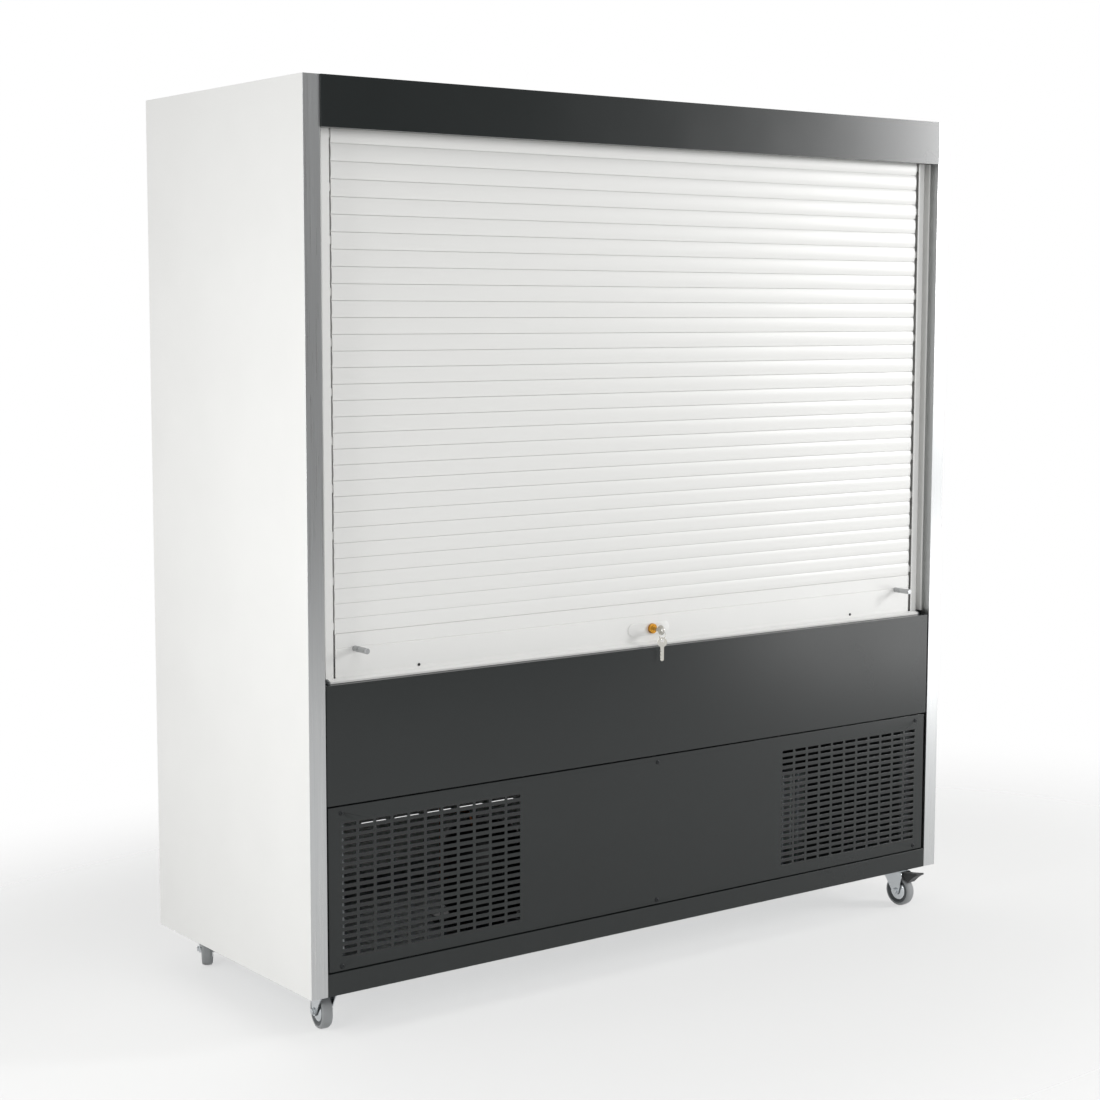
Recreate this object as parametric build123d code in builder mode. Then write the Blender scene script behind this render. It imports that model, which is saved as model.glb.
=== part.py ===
from build123d import *
import os
from math import atan2, ceil, cos, pi, radians, sin

os.makedirs("parts", exist_ok=True)

# Multideck display fridge on castors, closed by a lockable roller shutter.
# Millimetres. X runs across the front, +Y points to the rear, +Z is up.
# The origin lies on the floor under the middle of the overall box.

# ---------------------------------------------------------------- overall sizes
width = 1800.0
depth = 670.0
body_height = 1828.0
castor_height = 100.0

# ---------------------------------------------------------------- walls
side_thickness = 38.0
rear_wall = 48.0
roof_thickness = 46.0
skin = 1.2
liner_sheet = 1.0
trim_sheet = 1.0
trim_return = 25.0
fit_gap = 0.5

# ---------------------------------------------------------------- front panels, up from the body's edge
plinth_height = 46.0
grille_top = 386.0
panel_joint = 2.0
lower_panel_bottom = 390.0
lower_panel_top = 634.0
canopy_height = 100.0
panel_sheet = 1.2
canopy_proud = 3.0
hem = 12.0
lower_panel_recess = 1.5
lower_panel_end_gap = 3.0
grille_recess = 4.0
grille_end_gap = 6.0
panel_return = 15.0
plinth_return = 18.0

# ---------------------------------------------------------------- grille slots
slot_columns = 11
slot_rows = 19
slot_length = 33.5
slot_height = 6.5
slot_pitch_x = 41.0
slot_pitch_z = 14.83
bank_inset = 259.5
bank_centre_z = 214.0
screw_inset = 36.0
screw_low_z = 57.5
screw_high_z = 372.5
screw_head_r = 5.0
screw_head = 2.0
screw_shank_r = 2.4
screw_bite = 10.0

# ---------------------------------------------------------------- base frame
frame_height = 40.0
frame_wall = 3.0
frame_flange = 40.0
floor_pan = 2.0
post_width = 30.0
post_depth = 20.0

# ---------------------------------------------------------------- cold well and deck
well_bottom = 350.0
well_floor = 40.0
well_wall = 36.0
well_front = 40.0
well_sheet = 1.5
deck_height = 616.5
deck_sheet = 1.5
deck_lip = 18.0
return_slots = 10
return_slot_length = 130.0
return_slot_width = 8.0
return_slot_pitch_x = 165.0
return_slot_pitch_y = 20.0
return_slot_setback = 105.0

# ---------------------------------------------------------------- air duct and light
plenum = 31.0
duct_sheet = 1.2
duct_drop = 28.0
duct_slot_length = 120.0
duct_slot_height = 10.0
duct_slot_columns = 6
duct_slot_rows = 3
outlet_depth = 40.0
outlet_height = 20.0
outlet_cells = 14
outlet_rib = 4.0
light_width = 24.0
light_height = 16.0
light_inset = 37.0
light_setback = 216.0

# ---------------------------------------------------------------- shelves
shelf_first = 900.0
shelf_pitch = 280.0
shelf_depth = 400.0
shelf_sheet = 1.2
shelf_side_gap = 8.0
ticket_height = 38.0
ticket_lean = 6.0
shelf_return = 20.0
shelf_upstand = 12.0
upright_width = 40.0
upright_depth = 20.0
upright_sheet = 2.0
bracket_sheet = 3.0
bracket_rear = 52.0
bracket_front = 22.0
bracket_inset = 12.0
hook_height = 14.0
hook_drop = 36.0

# ---------------------------------------------------------------- roller shutter
roll_depth = 150.0
barrel_r = 30.0
barrel_setback = 95.0
barrel_drop = 60.0
barrel_pin_r = 8.0
pin_clearance = 0.06
running_gap = 0.3
guide_standoff = 18.0
guide_face = 18.0
guide_front = 28.0
guide_depth = 22.0
guide_sheet = 2.0
guide_bottom = 642.0
slat_plane = 33.0
slat_thickness = 6.0
slat_bulge = 2.0
slat_end_gap = 42.0
first_line = 732.0
pitch_low = 29.96
pitch_high = 34.86
joint_low = 0.4
joint_high = 1.8
lip = 1.0
socket_height = 3.6
socket_width = 4.2
mouth_width = 2.2
neck = 1.0
bead_width = 3.4
bead_height = 2.0
tongue_every = 3
tongue_height = 16.0
tongue_thickness = 4.0
strap_width = 60.0
strap_thickness = 2.0
strap_spacing = 600.0

# ---------------------------------------------------------------- bottom rail, pegs and lock
rail_bottom = 634.5
rail_front = 30.5
rail_thickness = 12.0
rail_wall = 2.0
rail_foot = 16.5
rail_foot_height = 8.5
rail_groove = 702.0
rail_groove_depth = 1.4
lift = 1015.0
peg_inset = 88.0
peg_z = 699.0
peg_r = 6.0
peg_length = 48.0
lock_z = 672.0
lock_shift = -8.0
escutcheon_length = 117.0
escutcheon_height = 28.0
escutcheon_thickness = 2.5
cylinder_r = 11.0
cylinder_proud = 9.0
plug_r = 7.0
plug_clearance = 0.05
key_thickness = 1.6
key_height = 8.0
key_bow_r = 11.0
key_reach = 8.0
key_hole_r = 4.0
key_hole_inset = 4.0
key_gap = 0.9
ring_r = 9.0
ring_wire_r = 0.7
spare_turn = 45.0
spare_length = 32.0
bolt_height = 16.0
bolt_travel = 22.0
bolt_end_gap = 2.0
keeper_height = 20.0

# ---------------------------------------------------------------- castors
castor_inset = 78.0
castor_setback = 72.0
castor_trail = 31.0
wheel_r = 37.5
wheel_width = 27.0
wheel_bore_clearance = 0.05
tread_flats = 48
axle_r = 4.0
plate_size = 58.0
plate_thickness = 3.0
cup_r = 20.0
cup_height = 6.0
kingpin_r = 5.0
crown_r = 24.0
crown_height = 7.4
fork_sheet = 2.5
fork_gap = 1.5
boss_r = 10.0
pedal_pivot_ahead = 15.0
pedal_pivot_z = 82.0
pedal_pin_r = 2.5
pedal_reach = 65.0
pedal_width = 26.0

# ---------------------------------------------------------------- machinery
fan_r = 80.0
fan_clearance = 5.0
fan_x = 400.0
fan_plate_setback = 235.0
fan_hub_r = 20.0
fan_hub_length = 18.0
fan_shaft_r = 4.0
fan_blades = 5
blade_thickness = 2.0
blade_spread = 1.2
motor_r = 28.0
motor_length = 40.0
spider_width = 18.0
spider_thickness = 4.0
coil_inset = 162.0
coil_depth = 200.0
coil_height = 125.0
coil_setback = 330.0
coil_fins = 16
fin_thickness = 2.0
core_share = 0.2
condenser_x = 300.0
condenser_setback = 70.0
condenser_length = 440.0
condenser_depth = 60.0
condenser_height = 270.0
condenser_fins = 18
condenser_fan_r = 115.0
condenser_fan_blades = 6
shroud_gap = 32.0
compressor_x = -300.0
compressor_setback = 260.0
compressor_r = 92.0
compressor_height = 215.0
compressor_base = 210.0
box_inset = 182.0
box_length = 200.0
box_depth = 110.0
box_height = 160.0
gland_z = 70.0
gland_r = 9.0
cord_bore_r = 5.0
tray_inset = 202.0
tray_length = 240.0
tray_depth = 260.0
tray_height = 45.0
tray_wall = 1.5
pipe_r = 5.0
vent_slots = 8
vent_length = 70.0
vent_height = 8.0
vent_pitch = 95.0

# ---------------------------------------------------------------- places worked out from the sizes
front_reach = castor_trail + pedal_reach - castor_setback
front_y = -(depth - front_reach) / 2
rear_y = front_y + depth
base_z = castor_height
top_z = castor_height + body_height
wall_x = width / 2 - side_thickness
castor_x = width / 2 - castor_inset
bank_centre_x = wall_x - bank_inset
screw_x = wall_x - screw_inset
peg_x = wall_x - peg_inset
light_length = 2 * (wall_x - light_inset)
coil_length = 2 * (wall_x - coil_inset)
box_x = box_inset - wall_x
tray_x = wall_x - tray_inset
curtain_height = body_height - canopy_height - first_line
slat_count = ceil(2 * curtain_height / (pitch_low + pitch_high))
liner_x = wall_x + trim_sheet
core_x = liner_x + liner_sheet
liner_back_y = rear_y - rear_wall
ceiling_z = top_z - roof_thickness
roll_back_y = front_y + roll_depth
well_top_z = base_z + deck_height
duct_y = liner_back_y - plenum
duct_z = ceiling_z - duct_drop
shelf_back_y = duct_y - upright_depth
shelf_front_y = shelf_back_y - shelf_depth
end_x = wall_x - slat_end_gap
lock_y = front_y + rail_front - cylinder_proud
frame_top_z = base_z + frame_height


def block(x_span, y_span, z_span, mode=Mode.ADD):
    """Add, or with another mode cut, a block between two x, two y and two z values."""
    spans = (x_span, y_span, z_span)
    middle = tuple((low + high) / 2 for low, high in spans)
    with Locations(middle):
        Box(*(high - low for low, high in spans), mode=mode)


def across(side, near, far):
    """The x span from near to far on one side of the middle, side being -1 or 1."""
    return tuple(sorted((side * near, side * far)))


def seen_from_front(y):
    """Sketch plane across the cabinet at y: x to the right, z up, extruding towards the front."""
    return Plane.XZ.offset(-y)


def round_bar(centre, radius, length, direction, mode=Mode.ADD):
    """Add or cut a round bar that starts at centre and runs along direction."""
    with BuildPart(mode=Mode.PRIVATE) as bar:
        with BuildSketch(Plane(origin=centre, z_dir=direction)):
            Circle(radius)
        extrude(amount=length)
    add(bar.part, mode=mode)


def save(piece, name):
    """Label a finished piece and write it to its own file."""
    piece.label = name
    export_step(piece, f"parts/{name}.step")


# ================================================================ body: skins, foam and liner
for side, hand in ((-1, "left"), (1, "right")):
    with BuildPart() as side_panel:
        block(across(side, core_x, width / 2), (front_y + trim_sheet, rear_y), (base_z, top_z))
        block(
            across(side, core_x, width / 2 - skin),
            (front_y + trim_sheet + skin, rear_y - skin),
            (base_z + skin, top_z - skin),
            Mode.SUBTRACT,
        )
    save(side_panel.part, f"side_panel_{hand}")

    # Stainless cap over the panel's front edge, with a return along the cheek.
    with BuildPart() as side_trim:
        block(across(side, wall_x, width / 2), (front_y, front_y + trim_sheet), (base_z, top_z))
        block(across(side, wall_x, liner_x), (front_y, front_y + trim_return), (base_z, top_z))
    save(side_trim.part, f"side_trim_{hand}")

with BuildPart() as inner_liner:
    for side in (-1, 1):
        block(across(side, liner_x, core_x), (front_y + trim_sheet, rear_y), (base_z, top_z))
    block(
        (-liner_x, liner_x),
        (liner_back_y, liner_back_y + liner_sheet),
        (base_z + well_bottom, ceiling_z + liner_sheet),
    )
    block(
        (-liner_x, liner_x),
        (roll_back_y, liner_back_y + liner_sheet),
        (ceiling_z, ceiling_z + liner_sheet),
    )
save(inner_liner.part, "inner_liner")

roof_low_z = ceiling_z + liner_sheet
roof_rear_y = liner_back_y + liner_sheet
canopy_back_y = front_y + trim_return
with BuildPart() as roof_panel:
    block((-liner_x, liner_x), (canopy_back_y, roof_rear_y), (roof_low_z, top_z))
    block((-liner_x, liner_x), (canopy_back_y, roll_back_y), (roof_low_z, top_z - skin), Mode.SUBTRACT)
    block(
        (skin - liner_x, liner_x - skin),
        (roll_back_y + skin, roof_rear_y - skin),
        (roof_low_z, top_z - skin),
        Mode.SUBTRACT,
    )
save(roof_panel.part, "roof_panel")

# Rear skin: a tray round the foam, and below it a flat cover with air slots over the machinery.
gland_centre = (box_x, rear_y, frame_top_z + gland_z)
with BuildPart() as rear_panel:
    block((-liner_x, liner_x), (roof_rear_y, rear_y), (base_z + well_bottom, top_z))
    block(
        (skin - liner_x, liner_x - skin),
        (roof_rear_y, rear_y - skin),
        (base_z + well_bottom + skin, top_z - skin),
        Mode.SUBTRACT,
    )
    block((-liner_x, liner_x), (rear_y - skin, rear_y), (base_z, base_z + well_bottom))
    with BuildSketch(seen_from_front(rear_y)):
        with Locations((0, base_z + well_bottom / 2)):
            with GridLocations(vent_pitch, 3 * vent_height, vent_slots, 3):
                Rectangle(vent_length, vent_height)
    extrude(amount=skin, mode=Mode.SUBTRACT)
    round_bar(gland_centre, gland_r + pin_clearance, skin, (0, -1, 0), Mode.SUBTRACT)
save(rear_panel.part, "rear_panel")


def well_section(inset):
    """The cold well's outline in the Y-Z plane, drawn in by inset all round."""
    low_y = front_y + well_front + inset
    low_z = base_z + well_bottom + inset
    floor_z = base_z + well_bottom + well_floor - inset
    wall_y = front_y + well_front + well_wall - inset
    high_y = liner_back_y - inset
    high_z = well_top_z - inset
    return [
        (low_y, low_z),
        (high_y, low_z),
        (high_y, floor_z),
        (wall_y, floor_z),
        (wall_y, high_z),
        (low_y, high_z),
    ]


well_half = wall_x - fit_gap
with BuildPart() as well_tank:
    with BuildSketch(Plane.YZ.offset(-well_half)):
        with BuildLine():
            Polyline(*well_section(0), close=True)
        make_face()
        with BuildLine():
            Polyline(*well_section(well_sheet), close=True)
        make_face(mode=Mode.SUBTRACT)
    extrude(amount=2 * well_half)
save(well_tank.part, "well_tank")

# Foam between the skins: two sides, rear, roof and the well's floor and front.
with BuildPart() as foam_insulation:
    for side in (-1, 1):
        block(
            across(side, core_x, width / 2 - skin),
            (front_y + trim_sheet + skin, rear_y - skin),
            (base_z + skin, top_z - skin),
        )
    block(
        (skin - liner_x, liner_x - skin),
        (roof_rear_y, rear_y - skin),
        (base_z + well_bottom + skin, top_z - skin),
    )
    block(
        (skin - liner_x, liner_x - skin),
        (roll_back_y + skin, roof_rear_y - skin),
        (roof_low_z, top_z - skin),
    )
    with BuildSketch(Plane.YZ.offset(-well_half)):
        with BuildLine():
            Polyline(*well_section(well_sheet), close=True)
        make_face()
    extrude(amount=2 * well_half)
save(foam_insulation.part, "foam_insulation")

# ================================================================ base frame, plinth and front panels
frame_front_y = front_y + trim_return
frame_rear_y = rear_y - skin
post_front_y = front_y + grille_recess + panel_return
post_top_z = base_z + grille_top - panel_joint - panel_sheet
screw_points = [(x, base_z + z) for x in (-screw_x, 0, screw_x) for z in (screw_low_z, screw_high_z)]
with BuildPart() as base_frame:
    block((-liner_x, liner_x), (frame_front_y, frame_rear_y), (base_z, frame_top_z))
    block(
        (frame_flange - liner_x, liner_x - frame_flange),
        (frame_front_y + frame_flange, frame_rear_y - frame_flange),
        (base_z, frame_top_z),
        Mode.SUBTRACT,
    )
    block(
        (frame_wall - liner_x, liner_x - frame_wall),
        (frame_front_y + frame_wall, frame_rear_y - frame_wall),
        (base_z + frame_wall, frame_top_z - frame_wall),
        Mode.SUBTRACT,
    )
    block((-liner_x, liner_x), (frame_front_y, frame_rear_y), (base_z, base_z + floor_pan))
    for x in (-screw_x, 0, screw_x):
        block(
            (x - post_width / 2, x + post_width / 2),
            (post_front_y, post_front_y + post_depth),
            (frame_top_z, post_top_z),
        )
    with BuildSketch(seen_from_front(post_front_y + screw_bite)):
        with Locations(*screw_points):
            Circle(screw_shank_r + pin_clearance)
    extrude(amount=screw_bite, mode=Mode.SUBTRACT)
save(base_frame.part, "base_frame")

panel_half = wall_x - fit_gap
with BuildPart() as plinth_panel:
    block((-panel_half, panel_half), (front_y, front_y + plinth_return), (base_z, base_z + plinth_height))
    block(
        (-panel_half, panel_half),
        (front_y + panel_sheet, front_y + plinth_return),
        (base_z + panel_sheet, base_z + plinth_height - panel_sheet),
        Mode.SUBTRACT,
    )
save(plinth_panel.part, "plinth_panel")


def folded_panel(half, face_y, deep, z_span):
    """Open-backed sheet panel: a front face with returns on all four edges."""
    block((-half, half), (face_y, face_y + deep), z_span)
    block(
        (panel_sheet - half, half - panel_sheet),
        (face_y + panel_sheet, face_y + deep),
        (z_span[0] + panel_sheet, z_span[1] - panel_sheet),
        Mode.SUBTRACT,
    )


grille_y = front_y + grille_recess
grille_span = (base_z + plinth_height + panel_joint, base_z + grille_top)
with BuildPart() as grille_panel:
    folded_panel(wall_x - grille_end_gap, grille_y, panel_return, grille_span)
    with BuildSketch(seen_from_front(grille_y + panel_sheet)):
        for side in (-1, 1):
            with Locations((side * bank_centre_x, base_z + bank_centre_z)):
                with GridLocations(slot_pitch_x, slot_pitch_z, slot_columns, slot_rows):
                    Rectangle(slot_length, slot_height)
        with Locations(*screw_points):
            Circle(screw_shank_r + pin_clearance)
    extrude(amount=panel_sheet, mode=Mode.SUBTRACT)
save(grille_panel.part, "grille_panel")

with BuildPart() as panel_screws:
    with BuildSketch(seen_from_front(grille_y)):
        with Locations(*screw_points):
            Circle(screw_head_r)
    extrude(amount=screw_head)
    with BuildSketch(seen_from_front(post_front_y + screw_bite)):
        with Locations(*screw_points):
            Circle(screw_shank_r)
    extrude(amount=panel_return + screw_bite)
save(panel_screws.part, "panel_screws")

lower_y = front_y + lower_panel_recess
lower_deep = well_front - lower_panel_recess - running_gap
lower_span = (base_z + lower_panel_bottom, base_z + lower_panel_top)
with BuildPart() as lower_front_panel:
    folded_panel(wall_x - lower_panel_end_gap, lower_y, lower_deep, lower_span)
save(lower_front_panel.part, "lower_front_panel")

canopy_y = front_y - canopy_proud
canopy_low_z = top_z - canopy_height
with BuildPart() as canopy_panel:
    block((-panel_half, panel_half), (canopy_y, canopy_back_y), (canopy_low_z, top_z))
    block(
        (panel_sheet - panel_half, panel_half - panel_sheet),
        (canopy_y + panel_sheet, canopy_back_y - panel_sheet),
        (canopy_low_z + panel_sheet, top_z - panel_sheet),
        Mode.SUBTRACT,
    )
    block(
        (panel_sheet - panel_half, panel_half - panel_sheet),
        (canopy_back_y - panel_sheet, canopy_back_y),
        (canopy_low_z + hem, top_z - panel_sheet),
        Mode.SUBTRACT,
    )
save(canopy_panel.part, "canopy_panel")

# ================================================================ deck, duct, air outlet and light
deck_front_y = front_y + well_front + panel_joint
deck_half = wall_x - panel_joint
deck_rear_y = duct_y - fit_gap
deck_top_z = well_top_z + deck_sheet
with BuildPart() as deck_tray:
    block((-deck_half, deck_half), (deck_front_y, deck_rear_y), (well_top_z, deck_top_z))
    lip_y = front_y + well_front + well_wall + fit_gap
    block((-deck_half, deck_half), (lip_y, lip_y + deck_sheet), (well_top_z - deck_lip, well_top_z))
    block((-deck_half, deck_half), (deck_rear_y - deck_sheet, deck_rear_y), (deck_top_z, deck_top_z + hem))
    with BuildSketch(Plane.XY.offset(well_top_z)):
        with Locations((0, front_y + return_slot_setback)):
            with GridLocations(return_slot_pitch_x, return_slot_pitch_y, return_slots, 2):
                Rectangle(return_slot_length, return_slot_width)
    extrude(amount=deck_sheet, mode=Mode.SUBTRACT)
save(deck_tray.part, "deck_tray")

# Duct panel: a vertical sheet with air slots that turns forward under the ceiling.
outlet_rear_y = roll_back_y + outlet_depth
tier_rise = (duct_z - well_top_z) / (duct_slot_rows + 1)
duct_bay = 2 * well_half / duct_slot_columns
with BuildPart() as duct_panel:
    block((-well_half, well_half), (duct_y, duct_y + duct_sheet), (well_top_z - deck_lip, duct_z))
    block((-well_half, well_half), (outlet_rear_y, duct_y + duct_sheet), (duct_z - duct_sheet, duct_z))
    block((-well_half, well_half), (duct_y - deck_lip, duct_y), (well_top_z - duct_sheet, well_top_z))
    with BuildSketch(seen_from_front(duct_y + duct_sheet)):
        with Locations((0, (duct_z + well_top_z) / 2 + tier_rise / 4)):
            with GridLocations(duct_bay, tier_rise, duct_slot_columns, duct_slot_rows):
                Rectangle(duct_slot_length, duct_slot_height)
    extrude(amount=duct_sheet, mode=Mode.SUBTRACT)
save(duct_panel.part, "duct_panel")

# Air outlet: a frame of long cells behind the roll box, hung from the ceiling by its front flange.
outlet_low_z = duct_z - outlet_height
cell_pitch = (2 * well_half - outlet_rib) / outlet_cells
with BuildPart() as air_outlet:
    block((-well_half, well_half), (roll_back_y, outlet_rear_y), (outlet_low_z, duct_z))
    block((-well_half, well_half), (roll_back_y, roll_back_y + duct_sheet), (duct_z, ceiling_z))
    with BuildSketch(Plane.XY.offset(outlet_low_z)):
        with Locations((0, (roll_back_y + outlet_rear_y) / 2)):
            with GridLocations(cell_pitch, outlet_depth, outlet_cells, 1):
                Rectangle(cell_pitch - outlet_rib, outlet_depth - 2 * outlet_rib)
    extrude(amount=outlet_height, mode=Mode.SUBTRACT)
save(air_outlet.part, "air_outlet")

light_y = front_y + light_setback
light_top_z = duct_z - duct_sheet
with BuildPart() as light_tube:
    with BuildSketch(Plane.YZ.offset(-light_length / 2)):
        with BuildLine():
            Polyline(
                (light_y - light_width / 2, light_top_z - light_height / 2),
                (light_y - light_width / 2, light_top_z),
                (light_y + light_width / 2, light_top_z),
                (light_y + light_width / 2, light_top_z - light_height / 2),
            )
            ThreePointArc(
                (light_y + light_width / 2, light_top_z - light_height / 2),
                (light_y, light_top_z - light_height),
                (light_y - light_width / 2, light_top_z - light_height / 2),
            )
        make_face()
    extrude(amount=light_length)
save(light_tube.part, "light_tube")

# ================================================================ shelves
shelf_names = ("shelf_lower", "shelf_middle", "shelf_upper")
shelf_tops = [base_z + shelf_first + index * shelf_pitch for index in range(len(shelf_names))]
upright_centres = (-(wall_x - upright_width / 2 - fit_gap), 0, wall_x - upright_width / 2 - fit_gap)
bracket_xs = (
    upright_centres[0] + bracket_inset,
    -bracket_inset,
    bracket_inset,
    upright_centres[2] - bracket_inset,
)
hook_levels = [top - shelf_sheet - drop for top in shelf_tops for drop in (hook_height, hook_drop)]

# Slotted uprights: channels that stand on the deck in front of the duct panel.
with BuildPart() as shelf_uprights:
    for x in upright_centres:
        span = (x - upright_width / 2, x + upright_width / 2)
        inner = (span[0] + upright_sheet, span[1] - upright_sheet)
        block(span, (shelf_back_y, duct_y), (deck_top_z + hem, duct_z - duct_sheet))
        block(
            inner,
            (shelf_back_y + upright_sheet, duct_y),
            (deck_top_z + hem, duct_z - duct_sheet),
            Mode.SUBTRACT,
        )
    with BuildSketch(seen_from_front(shelf_back_y + upright_sheet)):
        with Locations(*((x, z) for x in bracket_xs for z in hook_levels)):
            Rectangle(bracket_sheet + 2 * running_gap, hook_height)
    extrude(amount=upright_sheet, mode=Mode.SUBTRACT)
save(shelf_uprights.part, "shelf_uprights")

# Brackets: tapering arms whose hooks drop through the uprights' slots.
hook_size = hook_height - 2 * running_gap
with BuildPart() as shelf_brackets:
    for top in shelf_tops:
        arm_top = top - shelf_sheet
        for x in bracket_xs:
            with BuildSketch(Plane.YZ.offset(x - bracket_sheet / 2)):
                with BuildLine():
                    Polyline(
                        (shelf_front_y + shelf_return, arm_top),
                        (shelf_back_y - running_gap, arm_top),
                        (shelf_back_y - running_gap, arm_top - bracket_rear),
                        (shelf_front_y + shelf_return, arm_top - bracket_front),
                        close=True,
                    )
                make_face()
                for drop in (hook_height, hook_drop):
                    with Locations((shelf_back_y + upright_sheet, arm_top - drop)):
                        Rectangle(2 * upright_sheet + 2 * running_gap, hook_size)
            extrude(amount=bracket_sheet)
save(shelf_brackets.part, "shelf_brackets")

# Shelves: two folded pans on each level, with a leaning ticket edge in front.
pan_outer = wall_x - shelf_side_gap
for name, top in zip(shelf_names, shelf_tops):
    with BuildPart() as shelf:
        for side in (-1, 1):
            start = shelf_side_gap / 2 if side == 1 else -pan_outer
            front, back = shelf_front_y, shelf_back_y - running_gap
            with BuildSketch(Plane.YZ.offset(start)):
                with BuildLine():
                    Polyline(
                        (front, top),
                        (front - ticket_lean, top - ticket_height),
                        (front - ticket_lean + shelf_sheet, top - ticket_height),
                        (front + shelf_sheet, top - shelf_sheet),
                        (back, top - shelf_sheet),
                        (back, top + shelf_upstand),
                        (back - shelf_sheet, top + shelf_upstand),
                        (back - shelf_sheet, top),
                        close=True,
                    )
                make_face()
            extrude(amount=pan_outer - shelf_side_gap / 2)
    save(shelf.part, name)


# ================================================================ shutter: guides, barrel and curtain
def line_height(index):
    """Height of the joint line under slat number index; the joints open steadily towards the top."""
    growth = (pitch_high - pitch_low) / (slat_count - 1)
    return base_z + first_line + index * pitch_low + growth * index * (index - 1) / 2


def joint_gap(index):
    """Height of the open joint above slat number index."""
    return joint_low + (joint_high - joint_low) * index / (slat_count - 1)


def bead(body_top, next_line):
    """Corner points of the neck and bead that hook into the slat above, from back to front."""
    middle = front_y + slat_plane + slat_thickness / 2
    low = next_line + lip + running_gap
    return [
        (middle + neck / 2, body_top),
        (middle + neck / 2, low),
        (middle + bead_width / 2, low),
        (middle + bead_width / 2, low + bead_height),
        (middle - bead_width / 2, low + bead_height),
        (middle - bead_width / 2, low),
        (middle - neck / 2, low),
        (middle - neck / 2, body_top),
    ]


def socket(line):
    """Corner points of the socket in a slat's lower edge, from front to back."""
    middle = front_y + slat_plane + slat_thickness / 2
    return [
        (middle - mouth_width / 2, line),
        (middle - mouth_width / 2, line + lip),
        (middle - socket_width / 2, line + lip),
        (middle - socket_width / 2, line + lip + socket_height),
        (middle + socket_width / 2, line + lip + socket_height),
        (middle + socket_width / 2, line + lip),
        (middle + mouth_width / 2, line + lip),
        (middle + mouth_width / 2, line),
    ]


barrel_y = front_y + barrel_setback
barrel_z = top_z - barrel_drop
guide_web_x = wall_x - guide_standoff
guide_lip_x = guide_web_x - guide_face
guide_y = front_y + guide_front
guide_back_y = guide_y + guide_depth
head_low_z = canopy_low_z - 2 * hem
bolt_z = base_z + lock_z
keeper_low_z = bolt_z + bolt_height / 2 + panel_joint
for side, hand in ((-1, "left"), (1, "right")):
    with BuildPart() as guide_rail:
        low_z = base_z + guide_bottom
        tall = (low_z, canopy_low_z + hem)
        flange_x = liner_x - guide_sheet
        rear_lip = (guide_back_y - guide_sheet, guide_back_y)
        block(across(side, flange_x, liner_x), (front_y + trim_return + fit_gap, guide_back_y), tall)
        block(across(side, guide_lip_x, flange_x), rear_lip, tall)
        block(across(side, guide_web_x - guide_sheet, guide_web_x), (guide_y, guide_back_y), tall)
        block(across(side, guide_lip_x, guide_web_x), (guide_y, guide_y + guide_sheet), tall)
        # Keeper that stops the lock bolt from rising.
        block(
            across(side, guide_web_x - guide_sheet - bolt_travel / 2, guide_web_x - guide_sheet),
            (guide_y + guide_sheet, guide_back_y - guide_sheet),
            (keeper_low_z, keeper_low_z + keeper_height),
        )
        # Head plate that carries the barrel's pin.
        block(
            across(side, guide_web_x - guide_sheet, guide_web_x),
            (guide_y, roll_back_y - fit_gap),
            (head_low_z, top_z - skin - fit_gap),
        )
        pin_start = (side * (guide_web_x - guide_sheet), barrel_y, barrel_z)
        round_bar(pin_start, barrel_pin_r + pin_clearance, guide_sheet, (side, 0, 0), Mode.SUBTRACT)
    save(guide_rail.part, f"guide_rail_{hand}")

barrel_half = guide_web_x - guide_sheet - running_gap
with BuildPart() as shutter_barrel:
    round_bar((-end_x, barrel_y, barrel_z), barrel_r, 2 * end_x, (1, 0, 0))
    round_bar((-barrel_half, barrel_y, barrel_z), 2 * barrel_pin_r, 2 * barrel_half, (1, 0, 0))
    pin_half = guide_web_x + running_gap
    round_bar((-pin_half, barrel_y, barrel_z), barrel_pin_r, 2 * pin_half, (1, 0, 0))
save(shutter_barrel.part, "shutter_barrel")

# Hanger straps: arcs that rise from the top slat and lie against the barrel.
strap_start_y = front_y + slat_plane + slat_thickness / 2
strap_start_z = line_height(slat_count) + lip + running_gap + bead_height + running_gap
strap_r = barrel_r + running_gap + strap_thickness / 2
rise = barrel_z - strap_start_z
back = barrel_y - strap_start_y
arc_r = (back**2 + rise**2 - strap_r**2) / (2 * (back - strap_r))
arc_y = strap_start_y + arc_r
arc_end = atan2(barrel_z - strap_start_z, barrel_y - arc_y)


def arc_point(radius, angle):
    """Point on a circle about the straps' centre."""
    return (arc_y + radius * cos(angle), strap_start_z + radius * sin(angle))


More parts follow.
